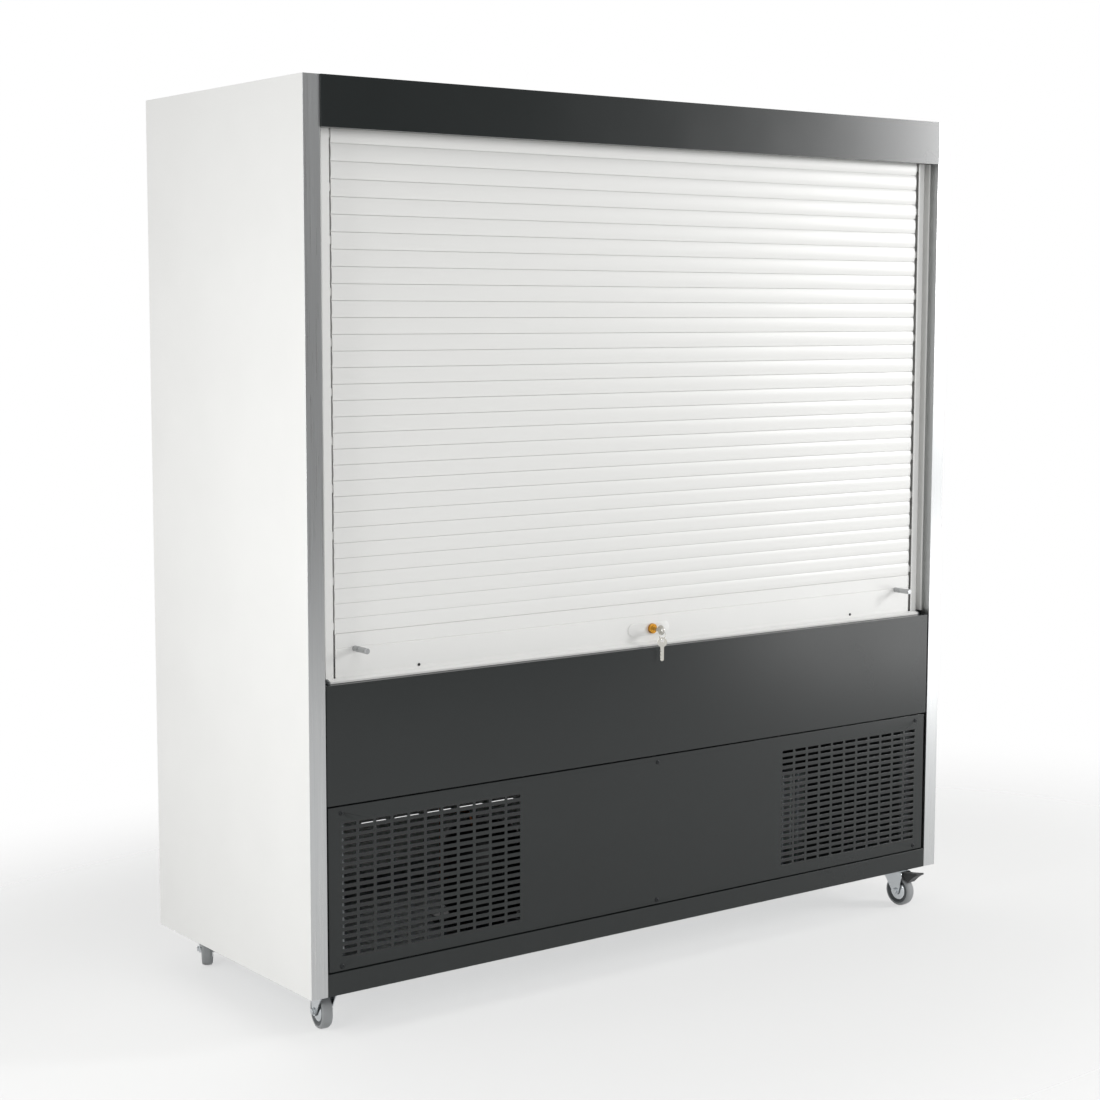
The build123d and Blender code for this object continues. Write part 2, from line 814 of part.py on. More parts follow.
with BuildPart() as slat_curtain:
    for index in range(slat_count):
        line = line_height(index)
        body_top = line_height(index + 1) - joint_gap(index)
        front = front_y + slat_plane
        rear = front + slat_thickness
        with BuildSketch(Plane.YZ.offset(-end_x)):
            with BuildLine():
                ThreePointArc(
                    (front, body_top), (front - slat_bulge, (line + body_top) / 2), (front, line)
                )
                Polyline((front, line), *socket(line), (rear, line), (rear, body_top))
                Polyline((rear, body_top), *bead(body_top, line_height(index + 1)), (front, body_top))
            make_face()
        extrude(amount=2 * end_x)
        if index % tongue_every == 0:
            middle_y = (front + rear) / 2
            middle_z = (line + body_top) / 2
            block(
                (-(end_x + slat_end_gap - guide_standoff - 3 * guide_sheet),
                 end_x + slat_end_gap - guide_standoff - 3 * guide_sheet),
                (middle_y - tongue_thickness / 2, middle_y + tongue_thickness / 2),
                (middle_z - tongue_height / 2, middle_z + tongue_height / 2),
            )
    for x in (-strap_spacing, 0, strap_spacing):
        angles = (pi, (pi + arc_end) / 2, arc_end)
        outer = [arc_point(arc_r + strap_thickness / 2, angle) for angle in angles]
        inner = [arc_point(arc_r - strap_thickness / 2, angle) for angle in reversed(angles)]
        with BuildSketch(Plane.YZ.offset(x - strap_width / 2)):
            with BuildLine():
                ThreePointArc(*outer)
                Line(outer[-1], inner[0])
                ThreePointArc(*inner)
                Line(inner[-1], outer[0])
            make_face()
        extrude(amount=strap_width)
save(slat_curtain.part, "slat_curtain")

# ================================================================ bottom rail, pegs and lock
rail_y = front_y + rail_front
rail_back_y = rail_y + rail_thickness
rail_low_z = base_z + rail_bottom
rail_top_z = line_height(0) - joint_low
groove_z = base_z + rail_groove
foot_y = front_y + rail_foot
foot_half = wall_x - guide_standoff
with BuildPart() as bottom_rail:
    with BuildSketch(Plane.YZ.offset(-end_x)):
        with BuildLine():
            Polyline(
                (rail_back_y, rail_top_z),
                *bead(rail_top_z, line_height(0)),
                (rail_y, rail_top_z),
                (rail_y, groove_z + rail_groove_depth),
                (rail_y + rail_groove_depth, groove_z),
                (rail_y, groove_z - rail_groove_depth),
                (rail_y, rail_low_z),
                (rail_back_y, rail_low_z),
                close=True,
            )
        make_face()
        with BuildLine():
            Polyline(
                (rail_y + rail_wall, rail_low_z + rail_foot_height),
                (rail_back_y - rail_wall, rail_low_z + rail_foot_height),
                (rail_back_y - rail_wall, rail_top_z - rail_wall),
                (rail_y + rail_wall, rail_top_z - rail_wall),
                close=True,
            )
        make_face(mode=Mode.SUBTRACT)
    extrude(amount=2 * end_x)
    # Foot: a bevelled flange along the lower edge, longer than the rail so that it passes before the guides.
    with BuildSketch(Plane.YZ.offset(-foot_half)):
        with BuildLine():
            Polyline(
                (foot_y, rail_low_z),
                (foot_y, rail_low_z + rail_foot_height / 2),
                (guide_y - fit_gap, rail_low_z + rail_foot_height),
                (guide_y - fit_gap, rail_low_z),
                close=True,
            )
        make_face()
    extrude(amount=2 * foot_half)
    block((-end_x, end_x), (guide_y - fit_gap, rail_y), (rail_low_z, rail_low_z + rail_foot_height))
    round_bar((0, rail_y, bolt_z), cylinder_r + plug_clearance, rail_thickness, (0, 1, 0), Mode.SUBTRACT)
    for side in (-1, 1):
        start = (side * peg_x, rail_y, base_z + peg_z)
        round_bar(start, peg_r / 2 + plug_clearance, rail_wall, (0, 1, 0), Mode.SUBTRACT)
save(bottom_rail.part, "bottom_rail")

with BuildPart() as pull_pegs:
    for side in (-1, 1):
        x, z = side * peg_x, base_z + peg_z
        round_bar((x, rail_y, z), peg_r, peg_length, (0, -1, 0))
        round_bar((x, rail_y, z), peg_r / 2, rail_wall, (0, 1, 0))
        with BuildSketch(seen_from_front(rail_y - peg_length / 3)):
            with Locations((x, z)):
                Circle(peg_r)
                Circle(peg_r - rail_groove_depth, mode=Mode.SUBTRACT)
        extrude(amount=peg_r / 2, mode=Mode.SUBTRACT)
save(pull_pegs.part, "pull_pegs")

with BuildPart() as lock_escutcheon:
    with BuildSketch(seen_from_front(rail_y)):
        with Locations((lock_shift, bolt_z)):
            SlotOverall(escutcheon_length, escutcheon_height)
        with Locations((0, bolt_z)):
            Circle(cylinder_r + plug_clearance, mode=Mode.SUBTRACT)
    extrude(amount=escutcheon_thickness)
save(lock_escutcheon.part, "lock_escutcheon")

cylinder_length = cylinder_proud + rail_thickness - rail_wall
with BuildPart() as lock_cylinder:
    round_bar((0, lock_y, bolt_z), cylinder_r, cylinder_length, (0, 1, 0))
    round_bar((0, lock_y, bolt_z), plug_r + plug_clearance, cylinder_length, (0, 1, 0), Mode.SUBTRACT)
save(lock_cylinder.part, "lock_cylinder")

with BuildPart() as lock_plug:
    round_bar((0, lock_y, bolt_z), plug_r, cylinder_length, (0, 1, 0))
    block(
        (-key_thickness / 2 - plug_clearance, key_thickness / 2 + plug_clearance),
        (lock_y, lock_y + cylinder_length),
        (bolt_z - key_height / 2 - plug_clearance, bolt_z + key_height / 2 + plug_clearance),
        Mode.SUBTRACT,
    )
save(lock_plug.part, "lock_plug")

# Key in the lock: a blade along Y and a round bow that stands upright.
hole_y = front_y - key_reach
bow_y = hole_y + key_hole_inset
with BuildPart() as lock_key:
    with BuildSketch(Plane.YZ.offset(-key_thickness / 2)):
        with Locations((bow_y, bolt_z)):
            Circle(key_bow_r)
        with Locations(((bow_y + lock_y + cylinder_length - panel_joint) / 2, bolt_z)):
            Rectangle(lock_y + cylinder_length - panel_joint - bow_y, key_height)
        with Locations((hole_y, bolt_z)):
            Circle(key_hole_r, mode=Mode.SUBTRACT)
    extrude(amount=key_thickness)
save(lock_key.part, "lock_key")

# Split ring: hangs through the key's bow, parallel with the rail.
hang = key_hole_r - ring_wire_r - key_gap
ring_z = bolt_z - hang - ring_r
ring_centre = (0, hole_y, ring_z)
with BuildPart() as key_ring:
    with BuildSketch(Plane(origin=ring_centre, x_dir=(1, 0, 0), z_dir=(0, 0, 1))):
        with Locations((ring_r, 0)):
            RegularPolygon(ring_wire_r, 6)
    revolve(axis=Axis(ring_centre, (0, 1, 0)))
save(key_ring.part, "key_ring")

# Spare key: hangs from the ring, turned halfway between the front and the left.
spare_hole_z = ring_z - ring_r - hang
spare_bow_z = spare_hole_z - key_hole_inset
spare_face = Plane(
    origin=(0, hole_y, 0),
    x_dir=(cos(radians(spare_turn)), -sin(radians(spare_turn)), 0),
    z_dir=(-sin(radians(spare_turn)), -cos(radians(spare_turn)), 0),
)
with BuildPart() as spare_key:
    with BuildSketch(spare_face.offset(-key_thickness / 2)):
        with Locations((0, spare_bow_z)):
            Circle(key_bow_r)
        with Locations((0, spare_bow_z - key_bow_r / 2 - spare_length / 2)):
            Rectangle(key_height, spare_length + key_bow_r)
        with Locations((0, spare_hole_z)):
            Circle(key_hole_r, mode=Mode.SUBTRACT)
    extrude(amount=key_thickness)
save(spare_key.part, "spare_key")

for side, hand in ((-1, "left"), (1, "right")):
    with BuildPart() as lock_bolt:
        block(
            across(side, cylinder_r + panel_joint, end_x - bolt_end_gap),
            (rail_y + rail_wall + running_gap, rail_back_y - rail_wall - running_gap),
            (bolt_z - bolt_height / 2, bolt_z + bolt_height / 2),
        )
    save(lock_bolt.part, f"lock_bolt_{hand}")

# ================================================================ castors
plate_low_z = castor_height - plate_thickness
cup_low_z = plate_low_z - cup_height
crown_low_z = cup_low_z - running_gap - crown_height
head_height = 3.0
castor_rear_y = rear_y - castor_setback
castor_front_y = front_y + castor_setback
castors = {
    "front_left": (-castor_x, castor_front_y, 171.0),
    "front_right": (castor_x, castor_front_y, 2.0),
    "rear_left": (-castor_x, castor_rear_y, 150.0),
    "rear_right": (castor_x, castor_rear_y, 165.0),
}

with BuildPart() as castor_plates:
    for x, y, turn in castors.values():
        block(
            (x - plate_size / 2, x + plate_size / 2),
            (y - plate_size / 2, y + plate_size / 2),
            (plate_low_z, castor_height),
        )
        round_bar((x, y, plate_low_z), cup_r, cup_height, (0, 0, -1))
        round_bar((x, y, cup_low_z), kingpin_r, crown_height + 2 * running_gap, (0, 0, -1))
        round_bar((x, y, crown_low_z - running_gap), 2 * kingpin_r, head_height, (0, 0, -1))
save(castor_plates.part, "castor_plates")


def castor_fork(with_pedal):
    """Swivel fork with its crown on the origin's axis and the wheel towards -Y."""
    inside = wheel_width / 2 + fork_gap
    outside = inside + fork_sheet
    pivot_y = -castor_trail - pedal_pivot_ahead
    with BuildPart() as fork:
        round_bar((0, 0, crown_low_z), crown_r, crown_height, (0, 0, 1))
        for side in (-1, 1):
            start = inside if side == 1 else -outside
            with BuildSketch(Plane.YZ.offset(start)):
                with Locations((0, crown_low_z + crown_height / 4)):
                    Rectangle(1.2 * crown_r, crown_height / 2)
                with Locations((-castor_trail, wheel_r)):
                    Circle(boss_r)
                if with_pedal:
                    with Locations((pivot_y, pedal_pivot_z)):
                        Circle(2 * pedal_pin_r)
                make_hull()
            extrude(amount=fork_sheet)
        axle_half = outside + fork_sheet
        round_bar((-axle_half, -castor_trail, wheel_r), axle_r, 2 * axle_half, (1, 0, 0))
        if with_pedal:
            round_bar((-outside, pivot_y, pedal_pivot_z), pedal_pin_r, 2 * outside, (1, 0, 0))
        round_bar((0, 0, crown_low_z), kingpin_r + pin_clearance, crown_height, (0, 0, 1), Mode.SUBTRACT)
    return fork.part


with BuildPart() as wheel_at_origin:
    half = wheel_width / 2
    hub_r = 0.62 * wheel_r
    tread_r = wheel_r / cos(radians(180 / tread_flats))
    with BuildSketch(Plane.XZ):
        with BuildLine():
            Polyline(
                (axle_r + wheel_bore_clearance, -half),
                (2 * axle_r, -half),
                (2 * axle_r, -half + half / 4),
                (hub_r, -half + half / 4),
                (hub_r, -half + half / 8),
                (0.92 * wheel_r, -half + half / 8),
                (tread_r, -half / 2),
                (tread_r, half / 2),
                (0.92 * wheel_r, half - half / 8),
                (hub_r, half - half / 8),
                (hub_r, half - half / 4),
                (2 * axle_r, half - half / 4),
                (2 * axle_r, half),
                (axle_r + wheel_bore_clearance, half),
                close=True,
            )
        make_face()
    revolve(axis=Axis.Z)
    # Narrow flats round the tread: the lowest lies level on the floor, so that the wheel stands still.
    with BuildSketch(Plane.XY.offset(-half)):
        RegularPolygon(wheel_r, tread_flats, major_radius=False, rotation=180 / tread_flats)
    extrude(amount=2 * half, mode=Mode.INTERSECT)

# Brake pedal: a lever over the wheel whose heel presses on the tread.
with BuildPart() as pedal_at_origin:
    pivot = (-castor_trail - pedal_pivot_ahead, pedal_pivot_z)
    tip_y = -castor_trail - pedal_reach
    with BuildSketch(Plane.YZ.offset(-pedal_width / 2)):
        with BuildLine():
            Polyline(
                (pivot[0] + 7, pivot[1] + 4),
                (pivot[0] - 6, pivot[1] + 4),
                (tip_y + 2, pivot[1] + 10),
                (tip_y, pivot[1] + 6),
                (pivot[0] - 20, pivot[1] - 18),
                (pivot[0] - 14, pivot[1] - 13),
                (pivot[0] + 7, pivot[1] - 5),
                close=True,
            )
        make_face()
        with Locations(pivot):
            Circle(pedal_pin_r + pin_clearance, mode=Mode.SUBTRACT)
    extrude(amount=pedal_width)

for corner, (x, y, turn) in castors.items():
    place = Location((x, y, 0), (0, 0, turn))
    braked = corner.startswith("front")
    save(place * castor_fork(braked), f"castor_fork_{corner}")
    axle_place = Location((0, -castor_trail, wheel_r), (0, 90, 0))
    save(place * axle_place * wheel_at_origin.part, f"castor_wheel_{corner}")
    if braked:
        save(place * pedal_at_origin.part, f"brake_pedal_{corner}")


# ================================================================ cold well machinery
def fan_wheel(centre, tip_r, blades):
    """Axial fan about Y: a hub with a shaft bore and twisted blades."""
    x, y, z = centre
    with BuildPart() as fan:
        round_bar((x, y, z), fan_hub_r, fan_hub_length, (0, 1, 0))
        for index in range(blades):
            angle = 360.0 * index / blades
            outward = (cos(radians(angle)), 0, sin(radians(angle)))
            for_root = Plane(origin=(x, y + fan_hub_length / 2, z), x_dir=(0, 1, 0), z_dir=outward)
            with BuildSketch(for_root.offset(0.8 * fan_hub_r)) as root:
                Rectangle(fan_hub_length * 0.9, blade_thickness, rotation=45)
            with BuildSketch(for_root.offset(tip_r)) as tip:
                Rectangle(tip_r * 0.55, blade_thickness, rotation=65)
            loft(ruled=True)
        round_bar((x, y, z), fan_shaft_r + pin_clearance, fan_hub_length, (0, 1, 0), Mode.SUBTRACT)
        keep = fan_hub_length * blade_spread
        with BuildSketch(seen_from_front(y + fan_hub_length / 2 + keep / 2)):
            with Locations((x, z)):
                Circle(tip_r)
        extrude(amount=keep, mode=Mode.INTERSECT)
    return fan.part


def motor_mount(centre, opening_r, plate_y):
    """Spider bar, motor and shaft behind a fan plate; the shaft carries the fan in front."""
    x, y, z = centre
    reach = opening_r + spider_width
    back = plate_y + panel_sheet
    arm = (z - spider_width / 2, z + spider_width / 2)
    block((x - reach, x + reach), (back, back + spider_thickness), arm)
    round_bar((x, back + spider_thickness, z), motor_r, motor_length, (0, 1, 0))
    round_bar((x, y, z), fan_shaft_r, back + spider_thickness - y, (0, 1, 0))


well_floor_z = base_z + well_bottom + well_floor
fan_plate_y = front_y + fan_plate_setback
fan_z = (well_floor_z + well_top_z) / 2
fan_front_y = fan_plate_y - fan_hub_length - spider_thickness
with BuildPart() as evaporator_fan_plate:
    block((-well_half, well_half), (fan_plate_y, fan_plate_y + panel_sheet), (well_floor_z, well_top_z))
    for side in (-1, 1):
        centre = (side * fan_x, fan_plate_y, fan_z)
        round_bar(centre, fan_r + fan_clearance, panel_sheet, (0, 1, 0), Mode.SUBTRACT)
    for side in (-1, 1):
        motor_mount((side * fan_x, fan_front_y, fan_z), fan_r + fan_clearance, fan_plate_y)
save(evaporator_fan_plate.part, "evaporator_fan_plate")

for side, hand in ((-1, "left"), (1, "right")):
    save(fan_wheel((side * fan_x, fan_front_y, fan_z), fan_r, fan_blades), f"evaporator_fan_{hand}")


def finned_coil(centre_x, near_y, length, deep, z_span, fins):
    """Heat exchanger: a core with end plates and a row of upright fins on its front and back."""
    start = centre_x - length / 2
    middle = near_y + deep / 2
    core = core_share * deep / 2
    with BuildPart() as coil:
        block((start, start + length), (middle - core, middle + core), z_span)
        for index in range(fins + 1):
            x = start + index * length / fins
            block((x - fin_thickness / 2, x + fin_thickness / 2), (near_y, near_y + deep), z_span)
    return coil.part


coil_span = (well_floor_z, well_floor_z + coil_height)
save(finned_coil(0, front_y + coil_setback, coil_length, coil_depth, coil_span, coil_fins), "evaporator")

# ================================================================ machine compartment
floor_z = base_z + floor_pan
condenser_y = front_y + condenser_setback
condenser_span = (floor_z, floor_z + condenser_height)
condenser = finned_coil(
    condenser_x, condenser_y, condenser_length, condenser_depth, condenser_span, condenser_fins
)
save(condenser, "condenser")

shroud_y = condenser_y + condenser_depth + shroud_gap
condenser_fan_z = floor_z + condenser_height / 2
condenser_fan_y = shroud_y - fan_hub_length - spider_thickness
shroud_span = (condenser_x - condenser_length / 2, condenser_x + condenser_length / 2)
with BuildPart() as condenser_shroud:
    block(shroud_span, (shroud_y, shroud_y + panel_sheet), condenser_span)
    for z in (condenser_span[0], condenser_span[1] - panel_sheet):
        block(shroud_span, (condenser_y + condenser_depth, shroud_y), (z, z + panel_sheet))
    centre = (condenser_x, shroud_y, condenser_fan_z)
    round_bar(centre, condenser_fan_r + fan_clearance, panel_sheet, (0, 1, 0), Mode.SUBTRACT)
    fan_centre = (condenser_x, condenser_fan_y, condenser_fan_z)
    motor_mount(fan_centre, condenser_fan_r + fan_clearance, shroud_y)
save(condenser_shroud.part, "condenser_shroud")
save(fan_wheel(fan_centre, condenser_fan_r, condenser_fan_blades), "condenser_fan")

# Hermetic compressor: a domed shell on a base plate with four rubber feet under it.
compressor_y = front_y + compressor_setback
foot_height = 16.0
with BuildPart() as compressor:
    half = compressor_base / 2
    low = floor_z + foot_height
    block(
        (compressor_x - half, compressor_x + half),
        (compressor_y - 0.7 * half, compressor_y + 0.7 * half),
        (low, low + frame_wall),
    )
    for dx in (-0.85 * half, 0.85 * half):
        for dy in (-0.55 * half, 0.55 * half):
            with Locations((compressor_x + dx, compressor_y + dy, floor_z + foot_height / 2)):
                Cylinder(foot_height / 2, foot_height)
    dome = 0.35 * compressor_r
    with BuildSketch(Plane(origin=(compressor_x, compressor_y, low), x_dir=(1, 0, 0), z_dir=(0, -1, 0))):
        with BuildLine():
            Polyline((0, 0), (0.8 * compressor_r, 0), (compressor_r, dome))
            Line((compressor_r, dome), (compressor_r, compressor_height - 1.6 * dome))
            ThreePointArc(
                (compressor_r, compressor_height - 1.6 * dome),
                (0.75 * compressor_r, compressor_height - 0.4 * dome),
                (dome, compressor_height),
            )
            Polyline((dome, compressor_height), (0, compressor_height), (0, 0))
        make_face()
    revolve(axis=Axis((compressor_x, compressor_y, low), (0, 0, 1)))
save(compressor.part, "compressor")

# Electrical box on the floor against the rear cover, with the mains gland through it.
with BuildPart() as electrical_box:
    block(
        (box_x - box_length / 2, box_x + box_length / 2),
        (rear_y - skin - box_depth, rear_y - skin),
        (frame_top_z, frame_top_z + box_height),
    )
    round_bar(gland_centre, gland_r, skin, (0, -1, 0))
    round_bar(gland_centre, cord_bore_r, 2 * gland_r, (0, -1, 0), Mode.SUBTRACT)
save(electrical_box.part, "electrical_box")

tray_y = (front_y + rear_y) / 2
with BuildPart() as drip_tray:
    x_span = (tray_x - tray_length / 2, tray_x + tray_length / 2)
    y_span = (tray_y - tray_depth / 2, tray_y + tray_depth / 2)
    block(x_span, y_span, (floor_z, floor_z + tray_height))
    block(
        (x_span[0] + tray_wall, x_span[1] - tray_wall),
        (y_span[0] + tray_wall, y_span[1] - tray_wall),
        (floor_z + tray_wall, floor_z + tray_height),
        Mode.SUBTRACT,
    )
save(drip_tray.part, "drip_tray")

# Copper lines: discharge to the condenser, and suction up to the cold well.
pipe_z = floor_z + compressor_height / 2
condenser_end_x = condenser_x - (condenser_length + fin_thickness) / 2
condenser_middle_y = condenser_y + condenser_depth / 2
turn_x = condenser_end_x - 6 * pipe_r
suction_x = compressor_x - compressor_r - 4 * pipe_r
discharge = [
    (compressor_x + compressor_r, compressor_y, pipe_z),
    (turn_x, compressor_y, pipe_z),
    (turn_x, condenser_middle_y, pipe_z),
    (condenser_end_x, condenser_middle_y, pipe_z),
]
suction = [
    (compressor_x - compressor_r, compressor_y, pipe_z),
    (suction_x, compressor_y, pipe_z),
    (suction_x, compressor_y, base_z + well_bottom),
]
with BuildPart() as refrigerant_pipes:
    for route in (discharge, suction):
        with BuildLine() as path:
            Polyline(*route)
        direction = Vector(*route[1]) - Vector(*route[0])
        with BuildSketch(Plane(origin=route[0], z_dir=direction)):
            RegularPolygon(pipe_r, 6)
        sweep(path=path.wires()[0], transition=Transition.RIGHT)
save(refrigerant_pipes.part, "refrigerant_pipes")
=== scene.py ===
import logging
import math
from dataclasses import dataclass
from enum import Enum
from typing import Any, Iterable, Sequence

import bmesh
import bpy
from bpy.types import ID, Curve, Material, Node, NodeSocket, NodeTree, Object, World
from mathutils import Matrix, Vector


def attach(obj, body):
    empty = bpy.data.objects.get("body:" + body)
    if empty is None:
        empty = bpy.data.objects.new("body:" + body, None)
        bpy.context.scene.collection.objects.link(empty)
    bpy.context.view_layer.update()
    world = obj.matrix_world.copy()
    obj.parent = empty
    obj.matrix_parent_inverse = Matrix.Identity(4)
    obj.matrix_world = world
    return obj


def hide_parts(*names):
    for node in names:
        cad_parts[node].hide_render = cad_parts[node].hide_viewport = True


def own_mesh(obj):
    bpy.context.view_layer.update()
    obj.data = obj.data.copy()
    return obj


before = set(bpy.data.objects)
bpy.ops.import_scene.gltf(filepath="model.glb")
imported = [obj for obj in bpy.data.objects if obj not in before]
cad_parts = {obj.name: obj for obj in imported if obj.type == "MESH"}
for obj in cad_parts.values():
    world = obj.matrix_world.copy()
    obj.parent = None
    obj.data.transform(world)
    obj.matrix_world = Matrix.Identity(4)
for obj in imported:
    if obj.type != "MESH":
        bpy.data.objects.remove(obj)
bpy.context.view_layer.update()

LOG = logging.getLogger("display_fridge")

Point2 = tuple[float, float]
Point3 = tuple[float, float, float]
Outline = Sequence[Point2]

# Main planes of the cabinet, in metres, as the CAD model has them.
FRONT_Y = -0.323
REAR_Y = 0.347
LINER_X = 0.8615
MM = 0.001
# Real brushing lines are far longer than they are wide.
HAIRLINE_STRETCH = 120
# Handling and drying marks are about a hand's width across.
CLOUD_MM = 180
SMOOTH_UP_TO = math.radians(32)
BEVEL_FROM = math.radians(40)


def to_linear(colour: str) -> tuple[float, float, float, float]:
    """Turn an sRGB hex colour into the linear values that a node takes.

    Args:
        colour: six hex digits with a leading hash.

    Returns:
        Linear red, green, blue and an alpha of one.
    """
    parts = [int(colour[i : i + 2], 16) / 255 for i in (1, 3, 5)]
    linear = [p / 12.92 if p <= 0.04045 else ((p + 0.055) / 1.055) ** 2.4 for p in parts]
    return (linear[0], linear[1], linear[2], 1.0)


def add_node(
    tree: NodeTree,
    kind: str,
    settings: dict[Any, Any] | None = None,
    links: dict[Any, NodeSocket] | None = None,
) -> Node:
    """Add one node with its settings and links.

    Args:
        tree: the node tree that takes the node.
        kind: Blender's name of the node type.
        settings: values by input name, input number or attribute name.
        links: source sockets by input name or number.

    Returns:
        The new node.
    """
    node = tree.nodes.new(kind)
    for key, value in (settings or {}).items():
        if isinstance(key, int) or key in node.inputs:
            node.inputs[key].default_value = value
        else:
            setattr(node, key, value)
    for key, socket in (links or {}).items():
        tree.links.new(socket, node.inputs[key])
    return node


def bare_tree(owner: Material | World) -> NodeTree:
    """Switch on the nodes of a material or world, and clear them.

    Args:
        owner: the material or world.

    Returns:
        Its empty node tree.
    """
    owner.use_nodes = True
    owner.node_tree.nodes.clear()
    return owner.node_tree


def put(name: str, data: ID) -> Object:
    """Link a new object with its data to the scene.

    Args:
        name: the object's name.
        data: its mesh, lamp or camera data.

    Returns:
        The new object.
    """
    made = bpy.data.objects.new(name, data)
    bpy.context.scene.collection.objects.link(made)
    return made


class Grain(Enum):
    """How a surface was made, which sets the pattern that the eye sees on it."""

    ORANGE_PEEL = "sprayed or powder-coated skin"
    BRUSHED_UPRIGHT = "scratches that run along Z"
    BRUSHED_ACROSS = "scratches that run along X"
    TURNED = "fine rings left by a lathe tool"
    SPANGLE = "zinc crystals of hot-dip galvanising"
    MOULDED = "spark-eroded mould texture"


@dataclass(frozen=True)
class Finish:
    """A real material and how its surface was made.

    Colours are sRGB hex values. grain_mm is the real size of the pattern, relief_mm is how
    deep it is, and slot, the record's material slot, is not used.
    """

    name: str
    colour: str
    shade: str
    grain: Grain
    grain_mm: float
    relief_mm: float
    roughness: float
    slot: str = ""
    metallic: float = 0.0
    spread: float = 0.06
    specular: float = 0.5
    coat: float = 0.0
    transmission: float = 0.0
    subsurface: float = 0.0

    def material(self) -> Material:
        """Return the Blender material, building it the first time."""
        return bpy.data.materials.get(self.name) or self._build()

    def _pattern(self, tree: NodeTree) -> NodeSocket:
        """Add the nodes of the fine pattern.

        Args:
            tree: the material's node tree.

        Returns:
            The socket that gives the pattern's height, 0 to 1.
        """
        place = add_node(tree, "ShaderNodeTexCoord").outputs["Object"]
        fine = 1000 / self.grain_mm
        long = fine / HAIRLINE_STRETCH
        scale = {Grain.BRUSHED_UPRIGHT: (fine, fine, long), Grain.BRUSHED_ACROSS: (long, fine, fine)}
        size = {"Scale": scale.get(self.grain, (fine, fine, fine))}
        mapped = add_node(tree, "ShaderNodeMapping", size, {"Vector": place})
        noise = {"Detail": 1.0 if self.grain is Grain.ORANGE_PEEL else 3.0, "Roughness": 0.55}
        rings = {"wave_type": "RINGS", "rings_direction": "Y", "Distortion": 0.4}
        kind, settings, output = {
            Grain.SPANGLE: ("Voronoi", {}, "Color"),
            Grain.TURNED: ("Wave", rings, "Fac"),
        }.get(self.grain, ("Noise", noise, "Fac"))
        links = {"Vector": mapped.outputs["Vector"]}
        return add_node(tree, f"ShaderNodeTex{kind}", {"Scale": 1.0, **settings}, links).outputs[output]

    def _build(self) -> Material:
        """Build the material: colour and gloss vary slowly, and the fine pattern lifts the surface.

        Returns:
            The new material.
        """
        made = bpy.data.materials.new(self.name)
        made.use_nodes = True
        tree = made.node_tree
        shader = tree.nodes["Principled BSDF"]
        height = self._pattern(tree)
        place = add_node(tree, "ShaderNodeTexCoord").outputs["Object"]
        marks = {"Scale": 1000 / CLOUD_MM, "Detail": 3.0}
        cloud = add_node(tree, "ShaderNodeTexNoise", marks, {"Vector": place}).outputs["Fac"]
        grained = self.grain in (Grain.SPANGLE, Grain.BRUSHED_UPRIGHT, Grain.BRUSHED_ACROSS)
        share = height if grained else cloud
        tones = {"data_type": "RGBA", 6: to_linear(self.colour), 7: to_linear(self.shade)}
        colour = add_node(tree, "ShaderNodeMix", tones, {0: share})
        ends = {
            "To Min": max(0.03, self.roughness - self.spread),
            "To Max": min(1.0, self.roughness + self.spread),
        }
        gloss = add_node(tree, "ShaderNodeMapRange", ends, {"Value": share})
        relief = {"Strength": 1.0, "Distance": self.relief_mm * MM}
        bump = add_node(tree, "ShaderNodeBump", relief, {"Height": height})
        tree.links.new(colour.outputs[2], shader.inputs["Base Color"])
        tree.links.new(gloss.outputs["Result"], shader.inputs["Roughness"])
        tree.links.new(bump.outputs["Normal"], shader.inputs["Normal"])
        values = {
            "Metallic": self.metallic,
            "Specular IOR Level": self.specular,
            "Coat Weight": self.coat,
            "Transmission Weight": self.transmission,
            "Subsurface Weight": self.subsurface,
            "Subsurface Scale": 2 * MM,
        }
        for socket, value in values.items():
            shader.inputs[socket].default_value = value
        made.diffuse_color = to_linear(self.colour)
        return made


# Powder-coated steel: an even, slightly rippled satin skin. The real ripple of 2 to 3 mm is drawn
# three times as coarse, because it is finer than a pixel here.
WHITE_POWDER_COAT = Finish(
    "powder_coated_steel_white", "#EFEFED", "#E9E9E7", Grain.ORANGE_PEEL, 8.0, 0.012, 0.38
)
CHARCOAL_POWDER_COAT = Finish(
    "powder_coated_steel_charcoal", "#212525", "#1E2222", Grain.ORANGE_PEEL, 8.0, 0.008, 0.23,
    spread=0.03, specular=0.42,
)
LINER_POWDER_COAT = Finish(
    "powder_coated_liner_dark", "#3A3D3E", "#343738", Grain.ORANGE_PEEL, 8.0, 0.012, 0.42
)
PALE_POWDER_COAT = Finish(
    "powder_coated_steel_pale", "#DADCDB", "#D2D4D3", Grain.ORANGE_PEEL, 8.0, 0.012, 0.4
)
# Stoved enamel on rolled aluminium: smoother than powder coat, with a soft shine along each slat.
SLAT_ENAMEL = Finish(
    "stoved_enamel_aluminium_white", "#F1F1EF", "#EDEDEB", Grain.ORANGE_PEEL, 12.0, 0.006, 0.34,
    "slat_white",
)
# Brushed stainless steel: upright hairlines draw the reflections out into streaks. Real lines of
# 0.1 mm are drawn at 2 mm, so that they show.
BRUSHED_STAINLESS = Finish(
    "brushed_stainless_steel", "#C9CACA", "#B4B6B7", Grain.BRUSHED_UPRIGHT, 2.0, 0.01, 0.3,
    metallic=1.0, spread=0.08,
)
